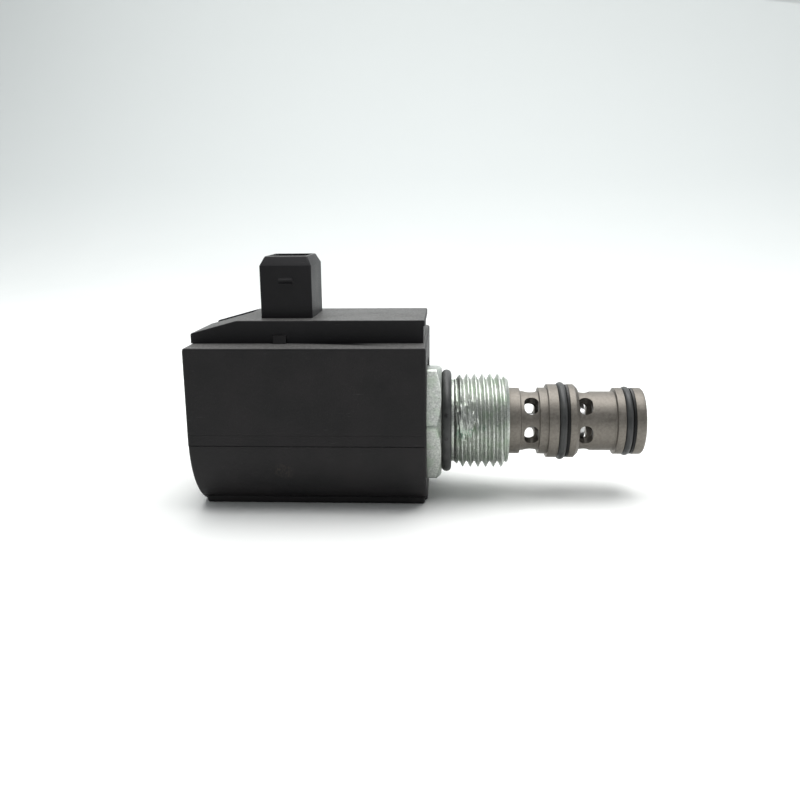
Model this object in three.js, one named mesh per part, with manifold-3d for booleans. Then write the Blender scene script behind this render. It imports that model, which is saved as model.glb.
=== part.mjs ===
// Screw-in hydraulic spool valve with its solenoid coil.
// Millimetres, +Z up. The valve axis lies along X with the nose at +X and the plug shroud on top.
// Stations along the axis are counted from the hexagon's sealing face, positive towards the nose.
import * as THREE from "three";
import { mergeVertices } from "three/addons/utils/BufferGeometryUtils.js";
import Module from "manifold-3d";

const wasm = await Module();
wasm.setup();

// ---------------------------------------------------------------- driving dimensions

const CONTACT_GAP = 0.02; // between two pieces that seat on each other
const FIT_GAP = 0.05; // radial clearance of a fitted or sliding diameter
const CUT_OVERRUN = 1; // how far a cutter runs past the face that it leaves

const ROUND_SEGMENTS = 32;
const PIN_SEGMENTS = 16;
const PORT_SEGMENTS = 16;
const SEAL_SECTION_SEGMENTS = 8;
const WIRE_SEGMENTS = 6;
const SPRING_STEPS_PER_TURN = 14;

// Valve body
const HEX_ACROSS_FLATS = 25.4;
const HEX_THICKNESS = 6.95;
const HEX_FACE_SETBACK = 0.15; // the turned faces' rim inside the flats
const HEX_CHAMFER_ANGLE = Math.PI / 6;
const HEX_TURN = -0.115; // how far the body has come to rest turned from flats at top and bottom
const RELIEF_UNDERCUT = 0.11; // the relief neck below the thread's root
const RELIEF_LENGTH = 2.85;
const THREAD_DIAMETER = 22.22;
const THREAD_PITCH = 25.4 / 14;
const THREAD_DEPTH = 1.25;
const THREAD_TURNS = 7;
const THREAD_CREST_SHARE = 0.14; // flat at the crest and at the root, as a share of the pitch
const BODY_SEAL_SECTION = 2.4;
const SEAL_RECESS_DEPTH = 0.1; // in the hexagon's face, behind the body O-ring
const SPRING_CHAMBER_CLEARANCE = 0.25;
const TUBE_SOCKET_DEPTH = 4;

// Cage, from its collar to the nose
const CAGE_BORE = 9.5;
const CAGE_SPIGOT_WALL = 2.05;
const CAGE_SPIGOT_LENGTH = 8.2;
const COLLAR_DIAMETER = 15.65;
const COLLAR_LENGTH = 2.75;
const UPPER_NECK_DIAMETER = 14.1;
const UPPER_NECK_LENGTH = 4.35;
const STEP_DIAMETER = 15.75;
const STEP_LENGTH = 1.95;
const MID_LAND_DIAMETER = 17.4;
const MID_LAND_LENGTH = 2.35;
const MID_GROOVE_LENGTH = 2.55;
const MID_FLANGE_LENGTH = 1.4;
const MID_CHAMFER = 0.85;
const LOWER_NECK_DIAMETER = 13.95;
const LOWER_NECK_LENGTH = 8.6;
const NOSE_LAND_DIAMETER = 15.7;
const NOSE_LAND_LENGTH = 1.8;
const NOSE_GROOVE_LENGTH = 2.4;
const NOSE_FLANGE_LENGTH = 2.35;
const NOSE_CHAMFER = 0.6;
const MID_SEAL_SECTION = 1.9;
const MID_SEAL_STAND = 0.5; // how far the O-ring stands proud of its land
const NOSE_SEAL_SECTION = 1.75;
const NOSE_SEAL_STAND = 0.3;
const PORT_COUNT = 6;
const PORT_WIDTH = 3.3; // along the axis
const PORT_SPAN = 4.6; // across it, from one round end to the other
const PORT_TURN = -0.245; // how far the cage has come to rest turned about its axis, in radians
const UPPER_PORT_SETBACK = 2.5; // row centre behind the collar-side end of its neck
const LOWER_PORT_SETBACK = 1.5;

// Spool, spring and plunger
const STROKE = 2.6;
const SPOOL_NECK_DIAMETER = 3.5;
const SPOOL_REAR_LAND_LENGTH = 7.4;
const SPOOL_FRONT_LAND_LENGTH = 2.5;
const SPOOL_GROOVE_WIDTH = 0.5;
const SPOOL_GROOVE_DEPTH = 0.35;
const SPOOL_GROOVE_COUNT = 3;
const SPOOL_STEM_DIAMETER = 4;
const SPRING_SEAT_THICKNESS = 0.8;
const CLIP_DIAMETER = 6.6;
const CLIP_THICKNESS = 0.6;
const CLIP_GROOVE_DEPTH = 0.5;
const STEM_END_LENGTH = 0.4;
const SPRING_WIRE = 0.9;
const SPRING_TURNS = 4.5;
const PUSH_PIN_DIAMETER = 3;
const PUSH_PIN_GRIP = 4;
const POLE_LENGTH = 18;
const SHIM_THICKNESS = 0.3;
const SHIM_SETBACK = 0.6;
const PLUNGER_SLOT_WIDTH = 2;
const PLUNGER_SLOT_DEPTH = 1;
const TUBE_DIAMETER = 15.9;
const TUBE_WALL = 0.8;
const TUBE_END_SETBACK = 0.6; // from the nut's face in to the tube's rear end
const PLUG_GRIP = 6.66;
const STUD_DIAMETER = 12;
const STUD_STAND = 0.8; // how far the stud stands out of the nut

// Coil
const COIL_FRONT_GAP = 3.25; // from the sealing face back to the coil's front face
const COIL_LENGTH = 52.9;
const COIL_HALF_WIDTH = 19.2;
const COIL_LEDGE_HEIGHT = 20.5;
const COIL_FOOT_DEPTH = 17.4;
const COIL_EDGE = 0.5;
const FOOT_HALF_WIDTH = 11;
const FOOT_INSET = 1.2;
const FOOT_EDGE = 0.8;
const HEX_POCKET_CLEARANCE = 0.535;
const NUT_POCKET_CLEARANCE = 1;
const NUT_POCKET_DEPTH = 3;
const CASING_WALL = 1.6; // the thinnest wall outside the flux shell
const FLUX_SHELL_WALL = 1.6;
const FLUX_WASHER_THICKNESS = 2.6;
const LEAD_SLOT_WIDTH = 7;
const FRONT_SEAL_SECTION = 1.5;
const FRONT_SEAL_POCKET_DEPTH = 1.65;
const BOBBIN_WALL = 1;
const BOBBIN_FLANGE_THICKNESS = 1.4;
const BOBBIN_SHELL_CLEARANCE = 0.2;
const WINDING_SETBACK = 0.8; // the winding's surface below the bobbin's flanges

// Coil nut
const NUT_DIAMETER = 21;
const NUT_LENGTH = 4.8;
const NUT_CHAMFER = 0.6;
const NUT_NOTCH_COUNT = 8;
const NUT_NOTCH_DIAMETER = 3;
const NUT_NOTCH_STAND = 0.5; // notch centre outside the nut's rim
const NUT_SEAL_SECTION = 1.8;

// Connector cover and its shroud. The cover's heights are counted from the casing's ledge, the
// shroud's from the cover's top, and what is in the shroud is counted down from its rim.
const COVER_HALF_WIDTH = 12.15;
const COVER_HEIGHT = 5.1;
const COVER_REAR_HEIGHT = 2.25;
const COVER_SLOPE_LENGTH = 10.6;
const COVER_FRONT_SETBACK = 0.4;
const COVER_WALL = 1.6;
const ROOF_THICKNESS = 1.3;
const ROOF_OVERHANG = 0.35; // over the cover's front end
const CHANNEL_WIDTH = 7; // of the shallow channel down the cover's slope
const CHANNEL_DEPTH = 0.4;
const CHANNEL_RAIL = 0.8; // between the channel and the cover's back
const SHROUD_REAR_SETBACK = 21.15; // from the coil's rear face to the shroud's centre
const SHROUD_LENGTH = 11.7;
const SHROUD_HALF_DEPTH = 7.8;
const SHROUD_WALL_HEIGHT = 11.8;
const SHROUD_RIM_HEIGHT = 2;
const SHROUD_TAPER_X = 1;
const SHROUD_TAPER_Y = 1.5;
const SOCKET_WALL_X = 1.7;
const SOCKET_WALL_Y = 3.2;
const SOCKET_DEPTH = 12.2;
const LATCH_RIDGE_WIDTH = 3.1;
const LATCH_RIDGE_STAND = 0.45;
const LATCH_RIDGE_HEIGHT = 0.7;
const LATCH_RIDGE_PITCH = 1;
const LATCH_SETBACK = 4.65;
const CATCH_LENGTH = 3;
const CATCH_HEIGHT = 1.85;
const CATCH_STAND = 0.8;
const CATCH_OFFSET = 0.9; // behind the shroud's centre
const CATCH_THICKNESS = 1.2;

// Terminals and diode
const BLADE_WIDTH = 2.8;
const BLADE_THICKNESS = 0.8;
const BLADE_SPACING = 4.8;
const BLADE_TIP_SETBACK = 4.8;
const BLADE_ROOT_COVER = 0.6; // of the carrier under a blade's root
const CARRIER_LENGTH = 12.6;
const CARRIER_HALF_WIDTH = 5.4;
const CARRIER_SHELL_CLEARANCE = 0.6;
const CARRIER_TOP_CLEARANCE = 0.6; // under the cover's ceiling
const DIODE_DIAMETER = 2.7;
const DIODE_LENGTH = 5.2;
const DIODE_LEAD_DIAMETER = 0.8;
const DIODE_LEAD_LENGTH = 3.2;
const DIODE_GROOVE_DEPTH = 0.5; // in the casing's ledge, under the diode's body

// ---------------------------------------------------------------- stations along the valve axis

const bodyEnd = RELIEF_LENGTH + THREAD_TURNS * THREAD_PITCH;
const collarEnd = bodyEnd + COLLAR_LENGTH;
const upperNeckEnd = collarEnd + UPPER_NECK_LENGTH;
const stepEnd = upperNeckEnd + STEP_LENGTH;
const midLandEnd = stepEnd + MID_LAND_LENGTH;
const midGrooveEnd = midLandEnd + MID_GROOVE_LENGTH;
const midFlangeEnd = midGrooveEnd + MID_FLANGE_LENGTH;
const lowerNeckStart = midFlangeEnd + MID_CHAMFER;
const lowerNeckEnd = lowerNeckStart + LOWER_NECK_LENGTH;
const noseLandEnd = lowerNeckEnd + NOSE_LAND_LENGTH;
const noseGrooveEnd = noseLandEnd + NOSE_GROOVE_LENGTH;
const noseEnd = noseGrooveEnd + NOSE_FLANGE_LENGTH;
const upperPortX = collarEnd + UPPER_PORT_SETBACK;
const lowerPortX = lowerNeckStart + LOWER_PORT_SETBACK;
const cageRear = bodyEnd - CAGE_SPIGOT_LENGTH;

const hexRear = -HEX_THICKNESS;
const tubeFront = hexRear + TUBE_SOCKET_DEPTH;
const poleRear = tubeFront - POLE_LENGTH;
const plungerFront = poleRear - SHIM_THICKNESS - STROKE - CONTACT_GAP;

const coilFront = -COIL_FRONT_GAP;
const coilRear = coilFront - COIL_LENGTH;
const washerFront = hexRear - CONTACT_GAP;
const shellFront = washerFront - FLUX_WASHER_THICKNESS;
const nutFace = coilRear + NUT_POCKET_DEPTH;
const shellRear = nutFace + FLUX_WASHER_THICKNESS;
const tubeRear = nutFace + TUBE_END_SETBACK;
const plungerRear = tubeRear + PLUG_GRIP + CONTACT_GAP;
const nutRear = nutFace - NUT_LENGTH;
const studEnd = nutRear - STUD_STAND;

// The spool at rest: its front land ends on the centre line of the lower ports, and its rear land
// clears the upper ports by the whole stroke.
const frontLandEnd = lowerPortX;
const frontLandStart = frontLandEnd - SPOOL_FRONT_LAND_LENGTH;
const rearLandEnd = upperPortX - PORT_WIDTH / 2 - STROKE;
const rearLandStart = rearLandEnd - SPOOL_REAR_LAND_LENGTH;
const stemEnd = tubeFront + CONTACT_GAP;
const clipRear = stemEnd + STEM_END_LENGTH;
const clipFront = clipRear + CLIP_THICKNESS;
const seatFront = clipFront + SPRING_SEAT_THICKNESS;

const shroudX = coilRear + SHROUD_REAR_SETBACK;
const catchX = shroudX - CATCH_OFFSET;
const coverFront = coilFront - COVER_FRONT_SETBACK;

// ---------------------------------------------------------------- heights and diameters that follow

const coverTop = COIL_LEDGE_HEIGHT + COVER_HEIGHT;
const coverRearTop = COIL_LEDGE_HEIGHT + COVER_REAR_HEIGHT;
const shroudShoulder = coverTop + SHROUD_WALL_HEIGHT;
const shroudTop = shroudShoulder + SHROUD_RIM_HEIGHT;
const socketFloor = shroudTop - SOCKET_DEPTH;
const bladeTop = shroudTop - BLADE_TIP_SETBACK;

const threadRoot = THREAD_DIAMETER / 2 - THREAD_DEPTH;
const reliefRadius = threadRoot - RELIEF_UNDERCUT;
const spigotDiameter = CAGE_BORE + 2 * CAGE_SPIGOT_WALL;
const springCoilDiameter = CAGE_BORE + SPRING_WIRE; // so that the spring rests on the cage's end
const springSeatDiameter = springCoilDiameter + SPRING_WIRE;
const springChamber = springSeatDiameter / 2 + SPRING_CHAMBER_CLEARANCE;
const hexCornerRadius = HEX_ACROSS_FLATS / Math.sqrt(3);

// The flux shell fits inside whichever is nearer to the axis, the casing's side or its foot.
const fluxShellDiameter = 2 * (Math.min(COIL_HALF_WIDTH, COIL_FOOT_DEPTH) - CASING_WALL);
const bobbinFlangeDiameter = fluxShellDiameter - 2 * (FLUX_SHELL_WALL + BOBBIN_SHELL_CLEARANCE);
const windingDiameter = bobbinFlangeDiameter - 2 * WINDING_SETBACK;
const carrierBottom = fluxShellDiameter / 2 + CARRIER_SHELL_CLEARANCE;
const carrierTop = coverTop - COVER_WALL - CARRIER_TOP_CLEARANCE;
const diodeX = shroudX + CARRIER_LENGTH / 2 + CONTACT_GAP + DIODE_LEAD_LENGTH + DIODE_LENGTH / 2;
const diodeZ = COIL_LEDGE_HEIGHT - DIODE_GROOVE_DEPTH + CONTACT_GAP + DIODE_DIAMETER / 2;

// ---------------------------------------------------------------- solids

// A closed geometry as a manifold-3d solid with its faces pointing out.
function solidOf(geometry) {
  const bare = geometry.clone();
  bare.deleteAttribute("normal");
  bare.deleteAttribute("uv");
  const merged = mergeVertices(bare, 1e-4);
  const p = merged.getAttribute("position");
  const corners = [];
  let volume = 0;
  const a = new THREE.Vector3();
  const b = new THREE.Vector3();
  const c = new THREE.Vector3();
  for (let i = 0; i < merged.index.count; i += 3) {
    const [u, v, w] = [0, 1, 2].map((k) => merged.index.getX(i + k));
    if (u === v || v === w || w === u) continue;
    corners.push([u, v, w]);
    a.fromBufferAttribute(p, u);
    b.fromBufferAttribute(p, v);
    c.fromBufferAttribute(p, w);
    volume += a.dot(b.cross(c));
  }
  const outward = volume < 0 ? corners.map(([u, v, w]) => [u, w, v]) : corners;
  const mesh = new wasm.Mesh({
    numProp: 3,
    vertProperties: new Float32Array(p.array),
    triVerts: new Uint32Array(outward.flat()),
  });
  return new wasm.Manifold(mesh);
}

// A solid turned about the valve axis from [x, radius] points. A profile that doesn't start and end
// on the axis is closed on itself as a ring.
function turned(points, segments = ROUND_SEGMENTS) {
  const profile = points.map(([x, r]) => new THREE.Vector2(r, x));
  const last = points.length - 1;
  if (points[0][1] > 0 || points[last][1] > 0) profile.push(profile[0].clone());
  return solidOf(new THREE.LatheGeometry(profile, segments).rotateZ(-Math.PI / 2));
}

// A plain turned rod or, with an inner diameter, a tube.
function rod(x0, x1, diameter, segments = ROUND_SEGMENTS) {
  const r = diameter / 2;
  return turned([[x0, 0], [x0, r], [x1, r], [x1, 0]], segments);
}

function tube(x0, x1, inner, outer, segments = ROUND_SEGMENTS) {
  return turned([[x0, inner / 2], [x0, outer / 2], [x1, outer / 2], [x1, inner / 2]], segments);
}

// A ring of round section about the valve axis.
function sealRing(x, meanRadius, section) {
  const points = [];
  for (let i = 0; i < SEAL_SECTION_SEGMENTS; i += 1) {
    const angle = (2 * Math.PI * i) / SEAL_SECTION_SEGMENTS;
    points.push([x + (section / 2) * Math.cos(angle), meanRadius + (section / 2) * Math.sin(angle)]);
  }
  return turned(points);
}

function box([x0, x1], [y0, y1], [z0, z1]) {
  const geometry = new THREE.BoxGeometry(x1 - x0, y1 - y0, z1 - z0);
  return solidOf(geometry.translate((x0 + x1) / 2, (y0 + y1) / 2, (z0 + z1) / 2));
}

// A box whose top is drawn in by insetX and insetY on each side.
function frustum([x0, x1], [y0, y1], [z0, z1], insetX, insetY) {
  const geometry = new THREE.BoxGeometry(x1 - x0, y1 - y0, z1 - z0);
  const p = geometry.getAttribute("position");
  for (let i = 0; i < p.count; i += 1) {
    if (p.getZ(i) < 0) continue;
    p.setX(i, p.getX(i) - Math.sign(p.getX(i)) * insetX);
    p.setY(i, p.getY(i) - Math.sign(p.getY(i)) * insetY);
  }
  return solidOf(geometry.translate((x0 + x1) / 2, (y0 + y1) / 2, (z0 + z1) / 2));
}

// A shape drawn in the YZ plane and extruded from x0 to x1.
function alongX(shape, x0, x1, curveSegments = 1) {
  const geometry = new THREE.ExtrudeGeometry(shape, { depth: x1 - x0, bevelEnabled: false, curveSegments });
  const toYZ = new THREE.Matrix4().makeBasis(
    new THREE.Vector3(0, 1, 0),
    new THREE.Vector3(0, 0, 1),
    new THREE.Vector3(1, 0, 0),
  );
  return solidOf(geometry.applyMatrix4(toYZ).translate(x0, 0, 0));
}

// A polygon of [x, z] points extruded from y0 to y1.
function alongY(points, y0, y1) {
  const shape = new THREE.Shape(points.map(([x, z]) => new THREE.Vector2(x, z)));
  const geometry = new THREE.ExtrudeGeometry(shape, { depth: y1 - y0, bevelEnabled: false });
  return solidOf(geometry.rotateX(Math.PI / 2).translate(0, y1, 0));
}

function joined(solids) {
  return solids.reduce((whole, solid) => whole.add(solid));
}

function cutBy(solid, cutters) {
  return cutters.reduce((rest, cutter) => rest.subtract(cutter), solid);
}

// ---------------------------------------------------------------- materials

function finish(color, roughness, metalness) {
  return new THREE.MeshStandardMaterial({ color, roughness, metalness, flatShading: true });
}

const zincSteel = finish(0xbfc4bf, 0.42, 0.85);
const phosphatedSteel = finish(0x8a8780, 0.5, 0.75);
const brightSteel = finish(0xb9babb, 0.3, 0.95);
const darkSteel = finish(0x55575a, 0.5, 0.85);
const springSteel = finish(0x8d9094, 0.35, 0.95);
const shimBrass = finish(0xb99b58, 0.35, 0.95);
const nitrileRubber = finish(0x2b2b2c, 0.55, 0);
const backupPlastic = finish(0x201f1f, 0.6, 0);
const casingPlastic = finish(0x2d2b2c, 0.62, 0);
const coverPlastic = finish(0x242326, 0.6, 0);
const bobbinPlastic = finish(0x4a4a46, 0.6, 0);
const copper = finish(0x9c5a36, 0.4, 0.9);
const tinPlate = finish(0xc2c1ba, 0.35, 0.9);
const diodeGlass = finish(0x1a1a1c, 0.35, 0);

// The whole valve stands on its coil foot, centred over the origin.
const valve = new THREE.Group();
valve.position.set(-(noseEnd + studEnd) / 2, 0, COIL_FOOT_DEPTH);
const cartridge = new THREE.Group();
const coil = new THREE.Group();
valve.add(cartridge, coil);

function add(group, name, solid, material) {
  const { vertProperties, triVerts, numProp } = solid.getMesh();
  const positions = new Float32Array((vertProperties.length / numProp) * 3);
  for (let i = 0; i < positions.length / 3; i += 1) {
    positions.set(vertProperties.subarray(i * numProp, i * numProp + 3), i * 3);
  }
  const geometry = new THREE.BufferGeometry();
  geometry.setAttribute("position", new THREE.BufferAttribute(positions, 3));
  geometry.setIndex(new THREE.BufferAttribute(new Uint32Array(triVerts), 1));
  geometry.computeVertexNormals();
  const mesh = new THREE.Mesh(geometry, material);
  mesh.name = name;
  group.add(mesh);
}

// ---------------------------------------------------------------- valve body

// The hexagon, its corners chamfered at both ends.
function hexagon() {
  const faceRadius = HEX_ACROSS_FLATS / 2 - HEX_FACE_SETBACK;
  const chamfer = (hexCornerRadius - faceRadius) * Math.tan(HEX_CHAMFER_ANGLE);
  const shape = new THREE.Shape();
  for (let i = 0; i < 6; i += 1) {
    const angle = (Math.PI / 3) * i + HEX_TURN;
    const point = [hexCornerRadius * Math.cos(angle), hexCornerRadius * Math.sin(angle)];
    if (i) shape.lineTo(...point);
    else shape.moveTo(...point);
  }
  const envelope = turned([
    [hexRear, 0],
    [hexRear, faceRadius],
    [hexRear + chamfer, hexCornerRadius],
    [-chamfer, hexCornerRadius],
    [0, faceRadius],
    [0, 0],
  ]);
  return alongX(shape, hexRear, 0).intersect(envelope);
}

// Relief neck and thread as one turned bar; each thread turn is a ring of the thread's own section.
function threadedShank() {
  const crest = THREAD_DIAMETER / 2;
  const flat = THREAD_CREST_SHARE * THREAD_PITCH;
  const flank = THREAD_PITCH / 2 - flat;
  const points = [[-CUT_OVERRUN, 0], [-CUT_OVERRUN, reliefRadius], [RELIEF_LENGTH, reliefRadius]];
  for (let i = 0; i < THREAD_TURNS; i += 1) {
    const x = RELIEF_LENGTH + i * THREAD_PITCH;
    const top = i === THREAD_TURNS - 1 ? crest - THREAD_DEPTH / 2 : crest;
    points.push([x + flat / 2, threadRoot], [x + flat / 2 + flank, top], [x + flank + 1.5 * flat, top]);
    points.push([x + THREAD_PITCH - flat / 2, threadRoot]);
  }
  points.push([bodyEnd, threadRoot], [bodyEnd, 0]);
  return turned(points);
}

const bodySealX = BODY_SEAL_SECTION / 2 + CONTACT_GAP - SEAL_RECESS_DEPTH;
const bodySealRadius = reliefRadius + CONTACT_GAP + BODY_SEAL_SECTION / 2;

function valveBody() {
  const spigot = spigotDiameter / 2 + FIT_GAP;
  const socket = TUBE_DIAMETER / 2 + FIT_GAP;
  const bore = turned([
    [bodyEnd + CUT_OVERRUN, 0],
    [bodyEnd + CUT_OVERRUN, spigot],
    [cageRear - FIT_GAP, spigot],
    [cageRear - FIT_GAP, springChamber],
    [tubeFront, springChamber],
    [tubeFront, socket],
    [hexRear - CUT_OVERRUN, socket],
    [hexRear - CUT_OVERRUN, 0],
  ]);
  const recessRim = bodySealRadius + BODY_SEAL_SECTION / 2 + CONTACT_GAP;
  const recess = tube(-SEAL_RECESS_DEPTH, RELIEF_LENGTH, 2 * reliefRadius, 2 * recessRim);
  return hexagon().add(threadedShank()).subtract(bore).subtract(recess);
}

add(cartridge, "valve_body", valveBody(), zincSteel);
add(cartridge, "body_seal_ring", sealRing(bodySealX, bodySealRadius, BODY_SEAL_SECTION), nitrileRubber);

// ---------------------------------------------------------------- cage and its seals

const midSealRadius = MID_LAND_DIAMETER / 2 + MID_SEAL_STAND - MID_SEAL_SECTION / 2;
const noseSealRadius = NOSE_LAND_DIAMETER / 2 + NOSE_SEAL_STAND - NOSE_SEAL_SECTION / 2;
const midGrooveRadius = midSealRadius - MID_SEAL_SECTION / 2 - CONTACT_GAP;
const noseGrooveRadius = noseSealRadius - NOSE_SEAL_SECTION / 2 - CONTACT_GAP;

// A row of cross slots with round ends: each cutter goes right through and makes two opposite ones.
function portCutters(x) {
  const cutters = [];
  const length = MID_LAND_DIAMETER + 2 * CUT_OVERRUN;
  const reach = (PORT_SPAN - PORT_WIDTH) / 2;
  for (let i = 0; i < PORT_COUNT / 2; i += 1) {
    const turn = (2 * Math.PI * (i + 0.5)) / PORT_COUNT + PORT_TURN;
    const ends = [-reach, reach].map((z) =>
      new THREE.CylinderGeometry(PORT_WIDTH / 2, PORT_WIDTH / 2, length, PORT_SEGMENTS).translate(0, 0, z),
    );
    const middle = new THREE.BoxGeometry(PORT_WIDTH, length, 2 * reach);
    cutters.push(joined([...ends, middle].map((part) => solidOf(part.rotateX(turn).translate(x, 0, 0)))));
  }
  return cutters;
}

function cage() {
  const noseLand = NOSE_LAND_DIAMETER / 2;
  const outside = turned([
    [cageRear, 0],
    [cageRear, spigotDiameter / 2],
    [bodyEnd + CONTACT_GAP, spigotDiameter / 2],
    [bodyEnd + CONTACT_GAP, COLLAR_DIAMETER / 2],
    [collarEnd, COLLAR_DIAMETER / 2],
    [collarEnd, UPPER_NECK_DIAMETER / 2],
    [upperNeckEnd, UPPER_NECK_DIAMETER / 2],
    [upperNeckEnd, STEP_DIAMETER / 2],
    [stepEnd, STEP_DIAMETER / 2],
    [stepEnd, MID_LAND_DIAMETER / 2],
    [midLandEnd, MID_LAND_DIAMETER / 2],
    [midLandEnd, midGrooveRadius],
    [midGrooveEnd, midGrooveRadius],
    [midGrooveEnd, MID_LAND_DIAMETER / 2],
    [midFlangeEnd, MID_LAND_DIAMETER / 2],
    [lowerNeckStart, MID_LAND_DIAMETER / 2 - MID_CHAMFER],
    [lowerNeckStart, LOWER_NECK_DIAMETER / 2],
    [lowerNeckEnd, LOWER_NECK_DIAMETER / 2],
    [lowerNeckEnd, noseLand],
    [noseLandEnd, noseLand],
    [noseLandEnd, noseGrooveRadius],
    [noseGrooveEnd, noseGrooveRadius],
    [noseGrooveEnd, noseLand],
    [noseEnd - NOSE_CHAMFER, noseLand],
    [noseEnd, noseLand - NOSE_CHAMFER],
    [noseEnd, 0],
  ]);
  const bore = rod(cageRear - CUT_OVERRUN, noseEnd + CUT_OVERRUN, CAGE_BORE);
  return cutBy(outside, [bore, ...portCutters(upperPortX), ...portCutters(lowerPortX)]);
}

// An O-ring against the collar side of its groove and a flat backup ring in the rest of it.
function grooveSeals(name, [start, end], { radius, section, grooveRadius, landDiameter }) {
  const sealX = start + CONTACT_GAP + section / 2;
  const sealEnd = start + 2 * CONTACT_GAP + section;
  const inner = 2 * (grooveRadius + CONTACT_GAP);
  const outer = landDiameter - 2 * FIT_GAP;
  add(cartridge, `${name}_seal_ring`, sealRing(sealX, radius, section), nitrileRubber);
  add(cartridge, `${name}_backup_ring`, tube(sealEnd, end - CONTACT_GAP, inner, outer), backupPlastic);
}

add(cartridge, "cage", cage(), phosphatedSteel);
grooveSeals("mid", [midLandEnd, midGrooveEnd], {
  radius: midSealRadius,
  section: MID_SEAL_SECTION,
  grooveRadius: midGrooveRadius,
  landDiameter: MID_LAND_DIAMETER,
});
grooveSeals("nose", [noseLandEnd, noseGrooveEnd], {
  radius: noseSealRadius,
  section: NOSE_SEAL_SECTION,
  grooveRadius: noseGrooveRadius,
  landDiameter: NOSE_LAND_DIAMETER,
});

// ---------------------------------------------------------------- spool and its return spring

function spool() {
  const land = CAGE_BORE / 2 - FIT_GAP;
  const neck = SPOOL_NECK_DIAMETER / 2;
  const stem = SPOOL_STEM_DIAMETER / 2;
  const clipRoot = stem - CLIP_GROOVE_DEPTH;
  const points = [[stemEnd, 0], [stemEnd, stem]];
  points.push([clipRear - CONTACT_GAP, stem], [clipRear - CONTACT_GAP, clipRoot]);
  points.push([clipFront, clipRoot], [clipFront, stem], [rearLandStart, stem], [rearLandStart, land]);
  const spacing = SPOOL_REAR_LAND_LENGTH / (SPOOL_GROOVE_COUNT + 1);
  for (let i = 1; i <= SPOOL_GROOVE_COUNT; i += 1) {
    const x = rearLandStart + i * spacing;
    const root = land - SPOOL_GROOVE_DEPTH;
    points.push([x - SPOOL_GROOVE_WIDTH / 2, land], [x - SPOOL_GROOVE_WIDTH / 2, root]);
    points.push([x + SPOOL_GROOVE_WIDTH / 2, root], [x + SPOOL_GROOVE_WIDTH / 2, land]);
  }
  points.push([rearLandEnd, land], [rearLandEnd, neck], [frontLandStart, neck], [frontLandStart, land]);
  points.push([frontLandEnd, land], [frontLandEnd, 0]);
  return turned(points);
}

class Helix extends THREE.Curve {
  constructor(x0, x1, radius, turns) {
    super();
    Object.assign(this, { x0, x1, radius, turns });
  }

  getPoint(t, target = new THREE.Vector3()) {
    const angle = 2 * Math.PI * this.turns * t;
    const x = this.x0 + (this.x1 - this.x0) * t;
    return target.set(x, this.radius * Math.cos(angle), this.radius * Math.sin(angle));
  }
}

function spring() {
  const wire = new THREE.Shape().absarc(0, 0, SPRING_WIRE / 2, 0, 2 * Math.PI);
  const clear = SPRING_WIRE / 2 + FIT_GAP;
  const path = new Helix(seatFront + clear, cageRear - clear, springCoilDiameter / 2, SPRING_TURNS);
  const steps = Math.round(SPRING_STEPS_PER_TURN * SPRING_TURNS);
  const curveSegments = WIRE_SEGMENTS / 2;
  return solidOf(new THREE.ExtrudeGeometry(wire, { steps, extrudePath: path, curveSegments }));
}

// A flat clip that grips the stem's groove and is open on one side.
function retainingClip() {
  const inner = SPOOL_STEM_DIAMETER - 2 * CLIP_GROOVE_DEPTH + 2 * FIT_GAP;
  const ring = tube(clipRear, clipFront - CONTACT_GAP, inner, CLIP_DIAMETER, PIN_SEGMENTS);
  const spanX = [clipRear - CUT_OVERRUN, clipFront + CUT_OVERRUN];
  return ring.subtract(box(spanX, [-inner / 2, inner / 2], [-CLIP_DIAMETER, 0]));
}

add(cartridge, "spool", spool(), brightSteel);
add(cartridge, "spool_spring", spring(), springSteel);
add(
  cartridge,
  "spring_seat",
  tube(clipFront, seatFront, SPOOL_STEM_DIAMETER + 2 * FIT_GAP, springSeatDiameter),
  brightSteel,
);
add(cartridge, "retaining_clip", retainingClip(), springSteel);

// ---------------------------------------------------------------- guide tube, pole and plunger

const tubeBore = TUBE_DIAMETER - 2 * TUBE_WALL;
const sleeveFit = tubeBore - 2 * FIT_GAP; // the diameter of what fits in the tube
const pinHole = PUSH_PIN_DIAMETER + 2 * FIT_GAP;

function plunger() {
  const slide = tube(plungerRear, plungerFront, pinHole, sleeveFit);
  const slots = [1, -1].map((side) => {
    const edge = (side * sleeveFit) / 2;
    const floor = edge - side * PLUNGER_SLOT_DEPTH;
    return box(
      [plungerRear - CUT_OVERRUN, plungerFront + CUT_OVERRUN],
      [-PLUNGER_SLOT_WIDTH / 2, PLUNGER_SLOT_WIDTH / 2],
      [Math.min(floor, edge + side), Math.max(floor, edge + side)],
    );
  });
  return cutBy(slide, slots);
}

// The plug closes the tube's rear end and carries the stud for the coil nut.
function endPlug() {
  return turned([
    [plungerRear - CONTACT_GAP, 0],
    [plungerRear - CONTACT_GAP, sleeveFit / 2],
    [tubeRear, sleeveFit / 2],
    [tubeRear, STUD_DIAMETER / 2],
    [studEnd + NUT_CHAMFER, STUD_DIAMETER / 2],
    [studEnd, STUD_DIAMETER / 2 - NUT_CHAMFER],
    [studEnd, 0],
  ]);
}

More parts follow.
